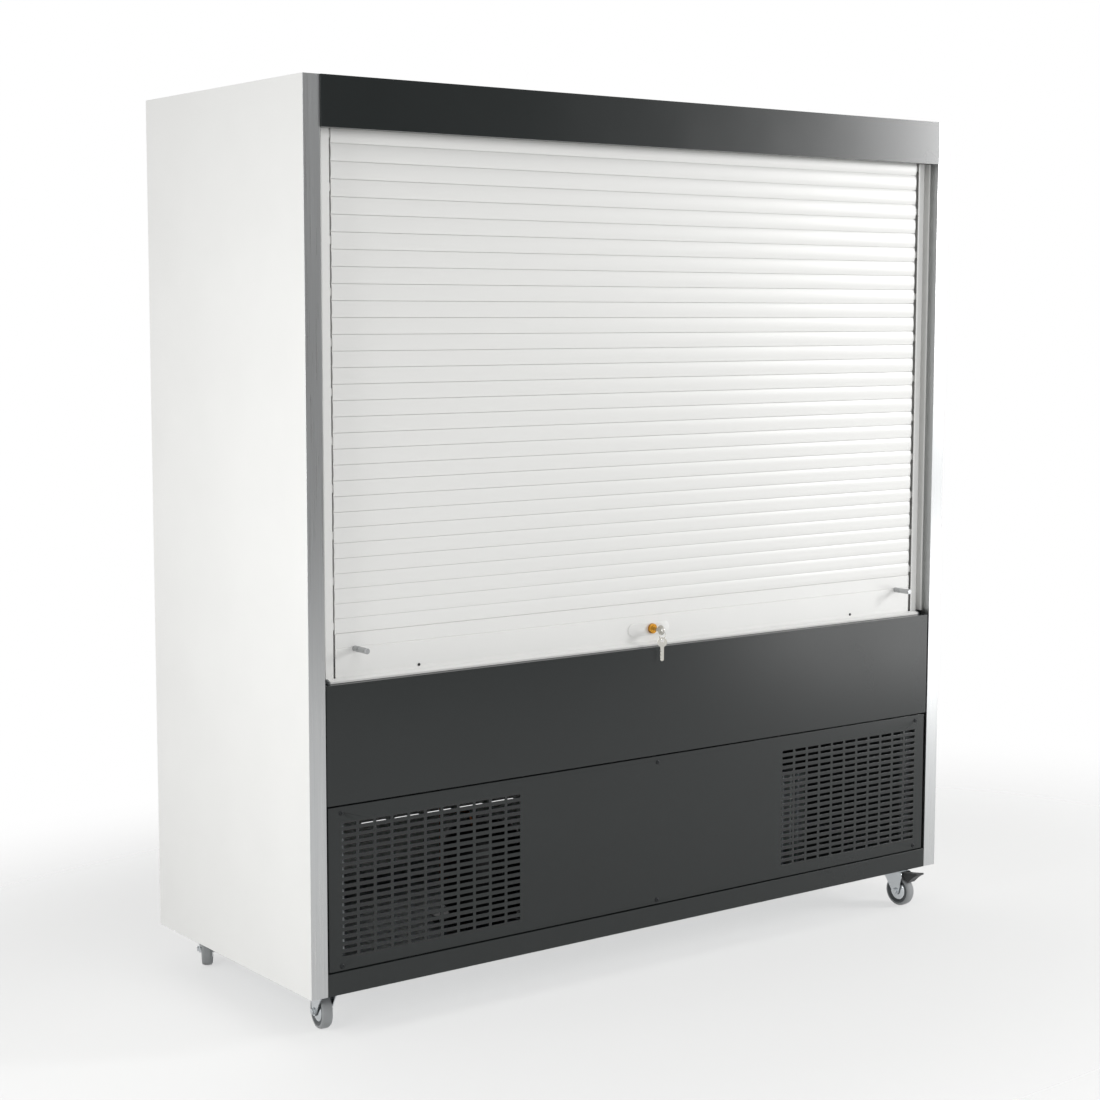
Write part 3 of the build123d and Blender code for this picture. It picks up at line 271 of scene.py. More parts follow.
# Hot-dip galvanised sheet: grey crystals of 6 to 12 mm, each with its own tone.
GALVANISED = Finish(
    "galvanised_steel_sheet", "#B5B9BB", "#9DA2A5", Grain.SPANGLE, 9.0, 0.004, 0.44,
    metallic=0.9, spread=0.1,
)
# Bright zinc plating on pressed steel: cool, nearly mirror-like but hazy.
BRIGHT_ZINC = Finish(
    "zinc_plated_pressed_steel", "#D3D6D8", "#BFC3C6", Grain.MOULDED, 3.0, 0.008, 0.24, "zinc", 1.0
)
# Nickel plate: a warmer, smoother shine than zinc.
NICKEL = Finish(
    "nickel_plated_brass", "#CFCDC6", "#BDBBB4", Grain.MOULDED, 1.5, 0.004, 0.2, "key_steel", 1.0
)
# Turned brass: warm orange gold with lathe rings of 0.2 mm, drawn at 0.8 mm.
TURNED_BRASS = Finish("turned_brass", "#D9A244", "#C98F34", Grain.TURNED, 0.8, 0.006, 0.22, "brass", 1.0)
# Satin anodised aluminium rod: grey, with lathe rings drawn at 1 mm.
ANODISED_ROD = Finish(
    "anodised_aluminium_turned", "#B9BABB", "#ABADAE", Grain.TURNED, 1.0, 0.004, 0.34, "peg_metal", 1.0
)
# Rolled fin stock: dull, with faint lines along the coil.
COIL_ALUMINIUM = Finish(
    "aluminium_fin_stock", "#C9CCCE", "#B7BABD", Grain.BRUSHED_ACROSS, 2.0, 0.004, 0.4,
    "coil_aluminium", 1.0,
)
# Drawn copper: smooth, with a slow warm change of tone where it was handled.
COPPER_TUBE = Finish(
    "drawn_copper_tube", "#C27B55", "#A9663F", Grain.MOULDED, 6.0, 0.006, 0.3, "copper", 1.0
)
BLACKENED_STEEL = Finish(
    "blackened_steel_screw", "#26282A", "#1D1F21", Grain.MOULDED, 1.5, 0.01, 0.4, "dark_screw", 0.6
)
# Enamelled steel pressing: thick black stoved paint that rounds every edge.
BLACK_ENAMEL = Finish(
    "black_enamelled_steel", "#1B1C1D", "#232425", Grain.ORANGE_PEEL, 5.0, 0.03, 0.3, "black_iron",
    coat=0.2,
)
# Moulded plastics: the mould's fine spark-eroded skin breaks up their shine.
BLACK_PLASTIC = Finish(
    "moulded_polypropylene_black", "#1D1E1F", "#242526", Grain.MOULDED, 2.0, 0.02, 0.5, "black_plastic"
)
GREY_PLASTIC = Finish(
    "moulded_abs_grey", "#7C7F81", "#747779", Grain.MOULDED, 2.0, 0.02, 0.46, "grey_plastic"
)
WHITE_PLASTIC = Finish(
    "moulded_abs_white", "#F0F0EE", "#EAEAE8", Grain.MOULDED, 2.0, 0.008, 0.32, "peg_white"
)
# Opal acrylic: milky, light sinks a little way in.
OPAL_DIFFUSER = Finish(
    "extruded_opal_acrylic", "#F2F2EF", "#ECECE8", Grain.ORANGE_PEEL, 10.0, 0.004, 0.25, subsurface=0.4
)
CLEAR_STRIP = Finish(
    "extruded_clear_pvc", "#F4F6F6", "#EEF1F1", Grain.ORANGE_PEEL, 12.0, 0.004, 0.12, "diffuser",
    transmission=0.85,
)
# Thermoplastic rubber tread: matt pale grey that scuffs darker.
GREY_TREAD = Finish(
    "thermoplastic_rubber_tread", "#A3A5A6", "#8D8F91", Grain.MOULDED, 3.0, 0.04, 0.62, "wheel_grey"
)
DARK_RIM = Finish(
    "moulded_polypropylene_rim", "#55585A", "#4A4D4F", Grain.MOULDED, 2.0, 0.02, 0.5, "wheel_grey"
)
FOAM = Finish("polyurethane_foam", "#E2D49C", "#D4C489", Grain.MOULDED, 4.0, 0.3, 0.85)

# CAD nodes that keep their own mesh, under what they are made of.
NODE_FINISHES: dict[Finish, str] = {
    WHITE_POWDER_COAT: "side_panel_left side_panel_right rear_panel roof_panel",
    BRUSHED_STAINLESS: "side_trim_left side_trim_right",
    FOAM: "foam_insulation",
    LINER_POWDER_COAT: "inner_liner",
    PALE_POWDER_COAT: "duct_panel deck_tray shelf_uprights shelf_brackets shelf_lower shelf_middle"
    " shelf_upper",
    CHARCOAL_POWDER_COAT: "canopy_panel lower_front_panel grille_panel plinth_panel",
    GALVANISED: "base_frame well_tank evaporator_fan_plate condenser_shroud shutter_barrel"
    " lock_bolt_left lock_bolt_right",
    BLACK_PLASTIC: "air_outlet drip_tray",
    OPAL_DIFFUSER: "light_tube",
    COIL_ALUMINIUM: "evaporator condenser",
    BLACK_ENAMEL: "compressor",
    GREY_PLASTIC: "electrical_box",
    COPPER_TUBE: "refrigerant_pipes",
    SLAT_ENAMEL: "guide_rail_left guide_rail_right bottom_rail",
    BRIGHT_ZINC: "castor_plates castor_fork_front_left castor_fork_front_right castor_fork_rear_left"
    " castor_fork_rear_right",
}


class Axis(Enum):
    """Direction in which a profile is drawn out, and how its two coordinates are placed."""

    X = "X"
    Y = "Y"

    def place(self, first: float, second: float, along: float) -> Point3:
        """Return the point at the profile's two coordinates and a distance along the axis."""
        return (along, first, second) if self is Axis.X else (first, along, second)


class Shape:
    """A mesh under construction, made of prisms, lathed bodies, tubes and cut plates."""

    def __init__(self) -> None:
        """Start with an empty mesh."""
        self.mesh = bmesh.new()

    def prism(self, outline: Outline, axis: Axis, start: float, end: float) -> "Shape":
        """Draw a closed outline out into a solid bar.

        Args:
            outline: corner points, in order.
            axis: the direction of the bar.
            start: where the bar starts along the axis.
            end: where it ends.

        Returns:
            This shape.
        """
        caps = [[self.mesh.verts.new(axis.place(a, b, t)) for a, b in outline] for t in (start, end)]
        faces = [self.mesh.faces.new(caps[0]), self.mesh.faces.new(list(reversed(caps[1])))]
        for i in range(len(outline)):
            j = (i + 1) % len(outline)
            faces.append(self.mesh.faces.new((caps[0][j], caps[0][i], caps[1][i], caps[1][j])))
        bmesh.ops.recalc_face_normals(self.mesh, faces=faces)
        return self

    def bar(self, outline: Outline, side: int, inner: float, outer: float) -> "Shape":
        """Draw an outline out along X between two distances from the middle, on one side."""
        return self.prism(outline, Axis.X, *sorted((side * inner, side * outer)))

    def lathe(
        self,
        outline: Outline,
        centre: Sequence[float],
        direction: Sequence[float],
        steps: int = 40,
        closed: bool = False,
    ) -> "Shape":
        """Turn an outline round an axis.

        Args:
            outline: pairs of distance along the axis and radius; a radius of 0 closes an end.
            centre: the point that distances start from.
            direction: the axis.
            steps: how many facets go round.
            closed: True where the outline is a closed ring, as for a tyre.

        Returns:
            This shape.
        """
        turn = Vector(direction).to_track_quat("Z", "Y").to_matrix().to_4x4()
        place = Matrix.Translation(Vector(centre)) @ turn
        rings = []
        for along, radius in outline:
            ring = circle((0, 0), radius, steps) if radius else [(0, 0)]
            rings.append([self.mesh.verts.new(place @ Vector((u, v, along))) for u, v in ring])
        faces = []
        for low, high in list(zip(rings, rings[1:])) + ([(rings[-1], rings[0])] if closed else []):
            for k in range(steps):
                n = (k + 1) % steps
                if len(low) == 1:
                    corners = (low[0], high[n], high[k])
                elif len(high) == 1:
                    corners = (low[k], low[n], high[0])
                else:
                    corners = (low[k], low[n], high[n], high[k])
                faces.append(self.mesh.faces.new(corners))
        bmesh.ops.recalc_face_normals(self.mesh, faces=faces)
        return self

    def _take(self, curve: Curve, place: Matrix) -> "Shape":
        """Turn a curve into mesh and add it at a place.

        Args:
            curve: the curve data, which is used up.
            place: where its mesh goes.

        Returns:
            This shape.
        """
        holder = bpy.data.objects.new("curve_holder", curve)
        made = bpy.data.meshes.new_from_object(holder)
        made.transform(place)
        self.mesh.from_mesh(made)
        bpy.data.objects.remove(holder)
        bpy.data.curves.remove(curve)
        bpy.data.meshes.remove(made)
        return self

    def tube(
        self, points: Sequence[Point3], radius: float, closed: bool = False, smooth: bool = True
    ) -> "Shape":
        """Run a round wire or tube through control points.

        Args:
            points: the route.
            radius: half the wire's thickness.
            closed: True for a ring.
            smooth: False keeps straight runs with sharp corners.

        Returns:
            This shape.
        """
        curve = bpy.data.curves.new("route", "CURVE")
        curve.dimensions = "3D"
        curve.bevel_depth = radius
        curve.bevel_resolution = 2
        curve.resolution_u = 6
        curve.use_fill_caps = not closed
        spline = curve.splines.new("NURBS" if smooth else "POLY")
        spline.points.add(len(points) - 1)
        for control, point in zip(spline.points, points):
            control.co = (*point, 1.0)
        spline.use_cyclic_u = closed
        if smooth:
            spline.order_u = 3
            spline.use_endpoint_u = not closed
        return self._take(curve, Matrix.Identity(4))

    def plate(
        self, outlines: Sequence[Outline], thickness: float, edge: float, place: Matrix
    ) -> "Shape":
        """Cut a flat plate with holes and softly rounded edges.

        Args:
            outlines: the outer edge first, then the holes.
            thickness: the plate's full thickness, centred on its plane.
            edge: radius of the rounded edges.
            place: where the plate's plane goes.

        Returns:
            This shape.
        """
        curve = bpy.data.curves.new("cut", "CURVE")
        curve.dimensions = "2D"
        curve.fill_mode = "BOTH"
        curve.extrude = thickness / 2 - edge
        curve.bevel_depth = edge
        curve.bevel_resolution = 1
        curve.offset = -edge
        for outline in outlines:
            spline = curve.splines.new("POLY")
            spline.points.add(len(outline) - 1)
            for control, (u, v) in zip(spline.points, outline):
                control.co = (u, v, 0.0, 1.0)
            spline.use_cyclic_u = True
        return self._take(curve, place)

    def grid(self, rows: Sequence[Sequence[Point3]]) -> "Shape":
        """Add an open surface through rows of points.

        Args:
            rows: rows of points, all of one length.

        Returns:
            This shape.
        """
        made = [[self.mesh.verts.new(p) for p in row] for row in rows]
        for low, high in zip(made, made[1:]):
            for k in range(len(low) - 1):
                self.mesh.faces.new((low[k], low[k + 1], high[k + 1], high[k]))
        return self

    def data(self, name: str, material: Material) -> bpy.types.Mesh:
        """Turn the shape into mesh data with one material, which uses the shape up.

        Args:
            name: the mesh's name.
            material: what it is made of.

        Returns:
            The new mesh.
        """
        made = bpy.data.meshes.new(name)
        self.mesh.to_mesh(made)
        self.mesh.free()
        made.materials.append(material)
        return made

    def piece(
        self,
        name: str,
        finish: Finish,
        body: str = "cabinet",
        replaces: Iterable[str] = (),
        slot: str | None = None,
        edge: float = 0.0,
        thickness: float = 0.0,
        place: Matrix | None = None,
    ) -> Object:
        """Finish the mesh as a named piece that rides on a body.

        Args:
            name: the piece's name.
            finish: what it is made of.
            body: the CAD body that it moves with.
            replaces: CAD nodes that it stands for.
            slot: the record's material slot, where it isn't the finish's own; not used.
            edge: width of a small bevel along sharp edges.
            thickness: sheet thickness given to an open surface.
            place: where the mesh goes, if it was built elsewhere.

        Returns:
            The new object.
        """
        bmesh.ops.remove_doubles(self.mesh, verts=self.mesh.verts, dist=MM / 1000)
        data = self.data(name, finish.material())
        if place is not None:
            data.transform(place)
        data.shade_smooth()
        data.set_sharp_from_angle(angle=SMOOTH_UP_TO)
        made = put(name, data)
        if thickness:
            solid = made.modifiers.new("sheet", "SOLIDIFY")
            solid.thickness = thickness
            solid.offset = 0.0
        if edge:
            soften_edges(made, edge)
        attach(made, body)
        if replaces:
            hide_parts(*replaces)
        LOG.info("piece %s on %s", name, body)
        return made


def soften_edges(piece: Object, width: float) -> None:
    """Give a piece small rounded edges that catch the light.

    Args:
        piece: the object to soften.
        width: the bevel's width in metres.
    """
    bevel = piece.modifiers.new("edge", "BEVEL")
    bevel.width = width
    bevel.segments = 2
    bevel.limit_method = "ANGLE"
    bevel.angle_limit = BEVEL_FROM
    bevel.use_clamp_overlap = True
    normals = piece.modifiers.new("even_shading", "WEIGHTED_NORMAL")
    normals.keep_sharp = False


def circle(centre: Point2, radius: float, steps: int = 40) -> list[Point2]:
    """Points round a circle.

    Args:
        centre: its middle.
        radius: its radius.
        steps: how many points.

    Returns:
        The points, in order.
    """
    angles = [2 * math.pi * k / steps for k in range(steps)]
    return [(centre[0] + radius * math.cos(a), centre[1] + radius * math.sin(a)) for a in angles]


def rounded_box(x: Point2, y: Point2, corner: float, steps: int = 5) -> list[Point2]:
    """Points round a rectangle with rounded corners.

    Args:
        x: its lowest and highest first coordinate.
        y: its lowest and highest second coordinate.
        corner: the corners' radius.
        steps: points on each corner, less one.

    Returns:
        The points, in order.
    """
    points = []
    for end_x, end_y, turn in ((1, 0, -90), (1, 1, 0), (0, 1, 90), (0, 0, 180)):
        cx = x[end_x] + (corner, -corner)[end_x]
        cy = y[end_y] + (corner, -corner)[end_y]
        for k in range(steps + 1):
            angle = math.radians(turn + 90 * k / steps)
            points.append((cx + corner * math.cos(angle), cy + corner * math.sin(angle)))
    return points


def scaled(outline: Outline, first: float, second: float) -> list[Point2]:
    """Scale an outline's two coordinates."""
    return [(first * u, second * v) for u, v in outline]


def dress_node(name: str, finish: Finish, edge: float = 0.0004) -> None:
    """Give a CAD node its finish and small rounded edges.

    Args:
        name: the node.
        finish: what it is made of.
        edge: width of its rounded edges.
    """
    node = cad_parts[name]
    node.data.materials.clear()
    node.data.materials.append(finish.material())
    join = node.modifiers.new("join", "WELD")
    join.merge_threshold = 0.02 * MM
    soften_edges(node, edge)
    LOG.info("node %s as %s", name, finish.name)


@dataclass
class Studio:
    """Camera, pale floor and soft lamps. Each lamp has its place, its target, its size and its watts."""

    camera_at: Point3 = (-2.9794, -3.8804, 1.4681)
    heading: float = -0.63394
    tilt: float = math.pi / 2 - 0.10618
    roll: float = 0.00091
    lens: float = 68.96
    shift: Point2 = (0.02008, -0.00995)
    floor_reach: float = 9.0
    floor_clear: Point2 = (1.1, 2.4)
    floor_lift: float = 0.55
    ambient: float = 0.36
    flag_ends: tuple[Point2, Point2] = ((-0.6, -5.3), (3.3, -4.1))
    flag_height: float = 4.0
    lamps: tuple[tuple[str, Point3, Point3, Point2, float], ...] = (
        ("right_strip", (4.6, -3.2, 2.35), (0.3, -0.3, 1.3), (0.75, 1.7), 128.0),
        ("low_strip", (3.1, -2.3, 0.3), (0.5, -0.35, 0.4), (1.5, 0.5), 7.0),
        ("front_fill", (-1.0, -6.0, 3.2), (0.0, 0.0, 1.0), (4.0, 2.0), 40.0),
        ("left_fill", (-5.2, 0.6, 2.2), (-0.9, 0.0, 0.9), (3.0, 3.0), 36.0),
        ("left_near", (-2.4, -0.62, 1.15), (-0.9, -0.2, 1.1), (0.5, 1.1), 12.0),
        ("top_soft", (0.0, -0.8, 5.0), (0.0, 0.0, 0.0), (4.0, 4.0), 28.0),
    )

    def build(self) -> None:
        """Build the whole studio."""
        self._camera()
        self._world()
        self._floor()
        self._flag()
        for lamp in self.lamps:
            self._lamp(*lamp)

    def _camera(self) -> None:
        """Set the camera at the photograph's viewing angle."""
        data = bpy.data.cameras.new("photo_camera")
        data.lens = self.lens
        data.sensor_width = 36.0
        data.sensor_fit = "HORIZONTAL"
        data.shift_x, data.shift_y = self.shift
        data.clip_end = 60.0
        camera = put("photo_camera", data)
        camera.matrix_world = (
            Matrix.Translation(self.camera_at)
            @ Matrix.Rotation(self.heading, 4, "Z")
            @ Matrix.Rotation(self.tilt, 4, "X")
            @ Matrix.Rotation(self.roll, 4, "Z")
        )
        bpy.context.scene.camera = camera

    @staticmethod
    def _eyes(tree: NodeTree) -> NodeSocket:
        """Give 1 to what the camera, a reflection or a clear piece shows, and 0 to bounced light.

        Args:
            tree: the node tree that takes the nodes.

        Returns:
            The socket of the result.
        """
        path = add_node(tree, "ShaderNodeLightPath").outputs
        shown = path["Is Camera Ray"]
        for ray in ("Is Glossy Ray", "Is Transmission Ray"):
            both = {0: shown, 1: path[ray]}
            shown = add_node(tree, "ShaderNodeMath", {"operation": "MAXIMUM"}, both).outputs[0]
        return shown

    def _world(self) -> None:
        """White behind the object and in its reflections, and a plain level for everything else."""
        world = bpy.data.worlds.new("white_room")
        bpy.context.scene.world = world
        tree = bare_tree(world)
        levels = {"To Min": self.ambient, "To Max": 1.0}
        strength = add_node(tree, "ShaderNodeMapRange", levels, {"Value": self._eyes(tree)}).outputs[0]
        white = {"Color": to_linear("#FFFFFF")}
        background = add_node(tree, "ShaderNodeBackground", white, {"Strength": strength})
        add_node(tree, "ShaderNodeOutputWorld", {}, {"Surface": background.outputs[0]})

    def _floor(self) -> None:
        """A pale floor that holds the shadow near the object and fades to white away from it."""
        made = bpy.data.materials.new("painted_studio_floor")
        tree = bare_tree(made)
        place = add_node(tree, "ShaderNodeTexCoord").outputs["Object"]
        oval = {"Scale": (0.8, 1.25, 1.0)}
        squeezed = add_node(tree, "ShaderNodeMapping", oval, {"Vector": place}).outputs[0]
        reach = add_node(tree, "ShaderNodeVectorMath", {"operation": "LENGTH"}, {0: squeezed})
        ramp = {
            "interpolation_type": "SMOOTHSTEP",
            "From Min": self.floor_clear[0],
            "From Max": self.floor_clear[1],
            "To Min": self.floor_lift,
        }
        fade = add_node(tree, "ShaderNodeMapRange", ramp, {"Value": reach.outputs["Value"]}).outputs[0]
        both = {0: fade, 1: self._eyes(tree)}
        shown = add_node(tree, "ShaderNodeMath", {"operation": "MULTIPLY"}, both).outputs[0]
        coat = {"Base Color": to_linear("#F6F6F5"), "Roughness": 0.7, "Specular IOR Level": 0.2}
        paint = add_node(tree, "ShaderNodeBsdfPrincipled", coat).outputs[0]
        clear = add_node(tree, "ShaderNodeBsdfTransparent").outputs[0]
        mixed = add_node(tree, "ShaderNodeMixShader", {}, {0: shown, 1: paint, 2: clear})
        add_node(tree, "ShaderNodeOutputMaterial", {}, {"Surface": mixed.outputs[0]})
        lines = [self.floor_reach * u for u in (-1, -0.3, 0.3, 1)]
        rows = [[(x, y, 0.0) for x in lines] for y in lines]
        put("studio_floor", Shape().grid(rows).data("studio_floor", made))

    def _flag(self) -> None:
        """A grey card in front of the object that only reflections see."""
        made = bpy.data.materials.new("matt_grey_card")
        tree = bare_tree(made)
        grey = {"Color": to_linear("#7A7A7A"), "Strength": 1.0}
        card = add_node(tree, "ShaderNodeEmission", grey)
        add_node(tree, "ShaderNodeOutputMaterial", {}, {"Surface": card.outputs[0]})
        rows = [[(x, y, z) for x, y in self.flag_ends] for z in (0.0, self.flag_height)]
        flag = put("grey_card", Shape().grid(rows).data("grey_card", made))
        flag.visible_camera = flag.visible_diffuse = False
        flag.visible_shadow = flag.visible_transmission = False

    def _lamp(self, name: str, at: Point3, target: Point3, size: Point2, power: float) -> None:
        """Add a rectangular soft lamp.

        Args:
            name: its name.
            at: where it stands.
            target: the point that it faces.
            size: its width and height.
            power: its power in watts.
        """
        data = bpy.data.lights.new(name, "AREA")
        data.shape = "RECTANGLE"
        data.size, data.size_y = size
        data.energy = power
        lamp = put(name, data)
        lamp.visible_camera = False
        lamp.location = at
        lamp.rotation_mode = "QUATERNION"
        lamp.rotation_quaternion = (Vector(target) - Vector(at)).to_track_quat("-Z", "Y")


@dataclass
class ScrewSet:
    """Domed screws with a cross recess."""

    head_r: float = 0.005
    head_height: float = 0.002
    recess_r: float = 0.0026
    recess_depth: float = 0.0012

    def add(self, shape: Shape, centre: Point3, direction: Point3 = (0, -1, 0)) -> None:
        """Add one screw head.

        Args:
            shape: the mesh that takes it.
            centre: the middle of its seat.
            direction: the way the head faces.
        """
        r, h, floor = self.head_r, self.head_height, self.head_height - self.recess_depth
        outline = [
            (-0.001, r * 0.5), (0.0, r * 0.5), (0.0, r), (h * 0.35, r), (h * 0.75, r * 0.86),
            (h, r * 0.6), (h, self.recess_r), (floor, self.recess_r * 0.55), (floor, 0.0),
        ]
        shape.lathe(outline, centre, direction, steps=24)


@dataclass
class HexHead:
    """A chamfered hexagon head or nut on a round washer."""

    washer_r: float
    washer_height: float
    head_r: float
    rim_height: float
    top_height: float
    top_r: float
    washer_steps: int

    def add(self, shape: Shape, centre: Point3, direction: Point3) -> None:
        """Add one head with its washer.

        Args:
            shape: the mesh that takes it.
            centre: the middle of its seat.
            direction: the way the head faces.
        """
        low = self.washer_height
        washer = [(0.0, 0.0), (0.0, self.washer_r), (low, self.washer_r), (low, 0.0)]
        shape.lathe(washer, centre, direction, self.washer_steps)
        head = [
            (low, 0.0), (low, self.head_r), (self.rim_height, self.head_r),
            (self.top_height, self.top_r), (self.top_height, 0.0),
        ]
        shape.lathe(head, centre, direction, 6)


@dataclass
class FrontPanels:
    """Screws of the grille panel."""

    screw_x: float = 0.826
    screw_z: Point2 = (0.1575, 0.4725)
    face_y: float = FRONT_Y + 0.004

    def build(self) -> None:
        """Build the six screws that hold the grille panel."""
        shape = Shape()
        for x in (-self.screw_x, 0.0, self.screw_x):
            for z in self.screw_z:
                ScrewSet().add(shape, (x, self.face_y, z))
        shape.piece("grille_screws", BLACKENED_STEEL, replaces=["panel_screws"])


@dataclass
class RollerShutter:
    """Slat curtain, its straps, and the trim on the bottom rail."""

    count: int = 31
    half_width: float = 0.820
    first_line: float = 0.832
    pitch_low: float = 0.02996
    pitch_high: float = 0.03486
    joint_low: float = 0.0004
    joint_high: float = 0.0018
    face_y: float = FRONT_Y + 0.033
    thickness: float = 0.006
    bulge: float = 0.002
    face_steps: int = 14
    tongue_half: float = 0.838
    anchor_z: float = 1.9
    keep: float = 0.0452
    barrel: Point2 = (FRONT_Y + 0.095, 1.868)
    strap_r: float = 0.0315
    strap_x: float = 0.6
    rail_y: float = FRONT_Y + 0.0305
    bead_z: Point2 = (0.745, 0.752)
    foot: Point2 = (FRONT_Y + 0.0162, 0.7342)
    cap_x: Point2 = (0.8405, 0.8443)
    screw_x: float = 0.62
    peg_x: float = 0.774
    peg_z: float = 0.799
    peg_r: float = 0.006
    peg_length: float = 0.048

    def line(self, index: int) -> float:
        """Height of the joint line under a slat."""
        growth = (self.pitch_high - self.pitch_low) / (self.count - 1)
        return self.first_line + index * self.pitch_low + growth * index * (index - 1) / 2

    def gap(self, index: int) -> float:
        """Open joint above a slat."""
        return self.joint_low + (self.joint_high - self.joint_low) * index / (self.count - 1)

    def _slat_outline(self, index: int) -> list[Point2]:
        """Cross-section of one slat with its socket below and its bead above.

        Args:
            index: the slat's number from the bottom.

        Returns:
            Points in the Y-Z plane, in order.
        """
        low, high = self.line(index), self.line(index + 1) - self.gap(index)
        face = []
        for k in range(self.face_steps + 1):
            t = k / self.face_steps
            swell = 1 - abs(2 * t - 1) ** 2.4
            face.append((self.face_y - self.bulge * swell, high + (low - high) * t))
        middle, rear = self.face_y + self.thickness / 2, self.face_y + self.thickness
        half = [(1.1, 0), (1.1, 1.0), (2.1, 1.0), (2.1, 4.6)]
        socket = [(-u, v) for u, v in half] + half[::-1]
        seat = self.line(index + 1) + 1.3 * MM
        half = [(0.5, high), (0.5, seat), (1.7, seat), (1.7, seat + 2 * MM)]
        bead = half + [(-u, v) for u, v in half[::-1]]
        return (
            face
            + [(middle + u * MM, low + v * MM) for u, v in socket]
            + [(rear, low), (rear, high)]
            + [(middle + u * MM, z) for u, z in bead]
        )

    def _gather(self, piece: Object) -> None:
        """Give a piece of the curtain its own copy of its mesh."""
        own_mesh(piece)

    def _slats(self) -> None:
        """Build the slats, every third one with tongues that run in the guides."""
        for index in range(self.count):
            shape = Shape().prism(self._slat_outline(index), Axis.X, -self.half_width, self.half_width)
            if index % 3 == 0:
                z = (self.line(index) + self.line(index + 1)) / 2
                y = self.face_y + self.thickness / 2
                tongue = rounded_box((y - 0.002, y + 0.002), (z - 0.008, z + 0.008), 0.0012, 3)
                for side in (-1, 1):
                    shape.bar(tongue, side, self.half_width - 0.004, self.tongue_half)
            nodes = ["slat_curtain"] if index == 0 else []
            self._gather(shape.piece(f"slat_{index:02d}", SLAT_ENAMEL, replaces=nodes))

    def _straps(self) -> None:
        """Build the three straps that hang the top slat from the barrel."""
        y, z = self.barrel
        start = (self.face_y + self.thickness / 2, self.line(self.count) + 0.0036)
        points = []
        for k in range(13):
            angle = math.radians(205 - 7.5 * k)
            points.append((y + self.strap_r * math.cos(angle), z + self.strap_r * math.sin(angle)))
        bend = ((start[0] + points[0][0]) / 2 - 0.001, (start[1] + points[0][1]) / 2)
        for number, x in enumerate((-self.strap_x, 0.0, self.strap_x), 1):
            rows = [[(x + u, v, w) for u in (-0.03, 0.03)] for v, w in [start, bend] + points]
            strap = Shape().grid(rows)
            self._gather(strap.piece(f"hanger_strap_{number}", BLACK_PLASTIC, thickness=0.0012))

    def _rail_trim(self) -> None:
        """Build the beads, end caps and screws of the bottom rail."""
        y = self.rail_y
        for number, z in enumerate(self.bead_z, 1):
            bead = [(y + 0.0002, z - 0.0007), (y - 0.0004, z), (y + 0.0002, z + 0.0007)]
            shape = Shape().prism(bead, Axis.X, -self.half_width, self.half_width)
            shape.piece(f"rail_bead_{number}", SLAT_ENAMEL, "shutter")
        y, z = self.foot
        cap = [(y, z), (y, z + 0.0048), (y + 0.0111, z + 0.0092), (y + 0.0112, z)]
        caps, screws = Shape(), Shape()
        for side in (-1, 1):
            caps.bar(cap, side, *self.cap_x)
            seat = (side * self.screw_x, self.rail_y, self.bead_z[0] + 0.006)
            ScrewSet(0.0032, 0.0014, 0.0018, 0.0009).add(screws, seat)
        caps.piece("rail_end_caps", GREY_PLASTIC, "shutter", edge=0.0002)
        screws.piece("rail_screws", BLACKENED_STEEL, "shutter")

    def _pegs(self) -> None:
        """Build the two pull pegs with a relief groove and a chamfered end."""
        r, length = self.peg_r, self.peg_length
        neck, groove, chamfer = length / 3, r - 0.0012, 0.0008
        outline = [
            (-0.002, 0.0), (-0.002, r / 2), (0.0, r / 2), (0.0, r),
            (neck, r), (neck, groove), (neck + 0.003, groove), (neck + 0.003, r),
            (length - chamfer, r), (length, r - chamfer), (length, 0.0),
        ]
        shape = Shape()
        for side in (-1, 1):
            shape.lathe(outline, (side * self.peg_x, self.rail_y, self.peg_z), (0, -1, 0), 32)
        shape.piece("turned_pull_pegs", ANODISED_ROD, "shutter", ["pull_pegs"])

    def build(self) -> None:
        """Build the shutter's pieces."""
        self._slats()
        self._straps()
        self._rail_trim()
        self._pegs()


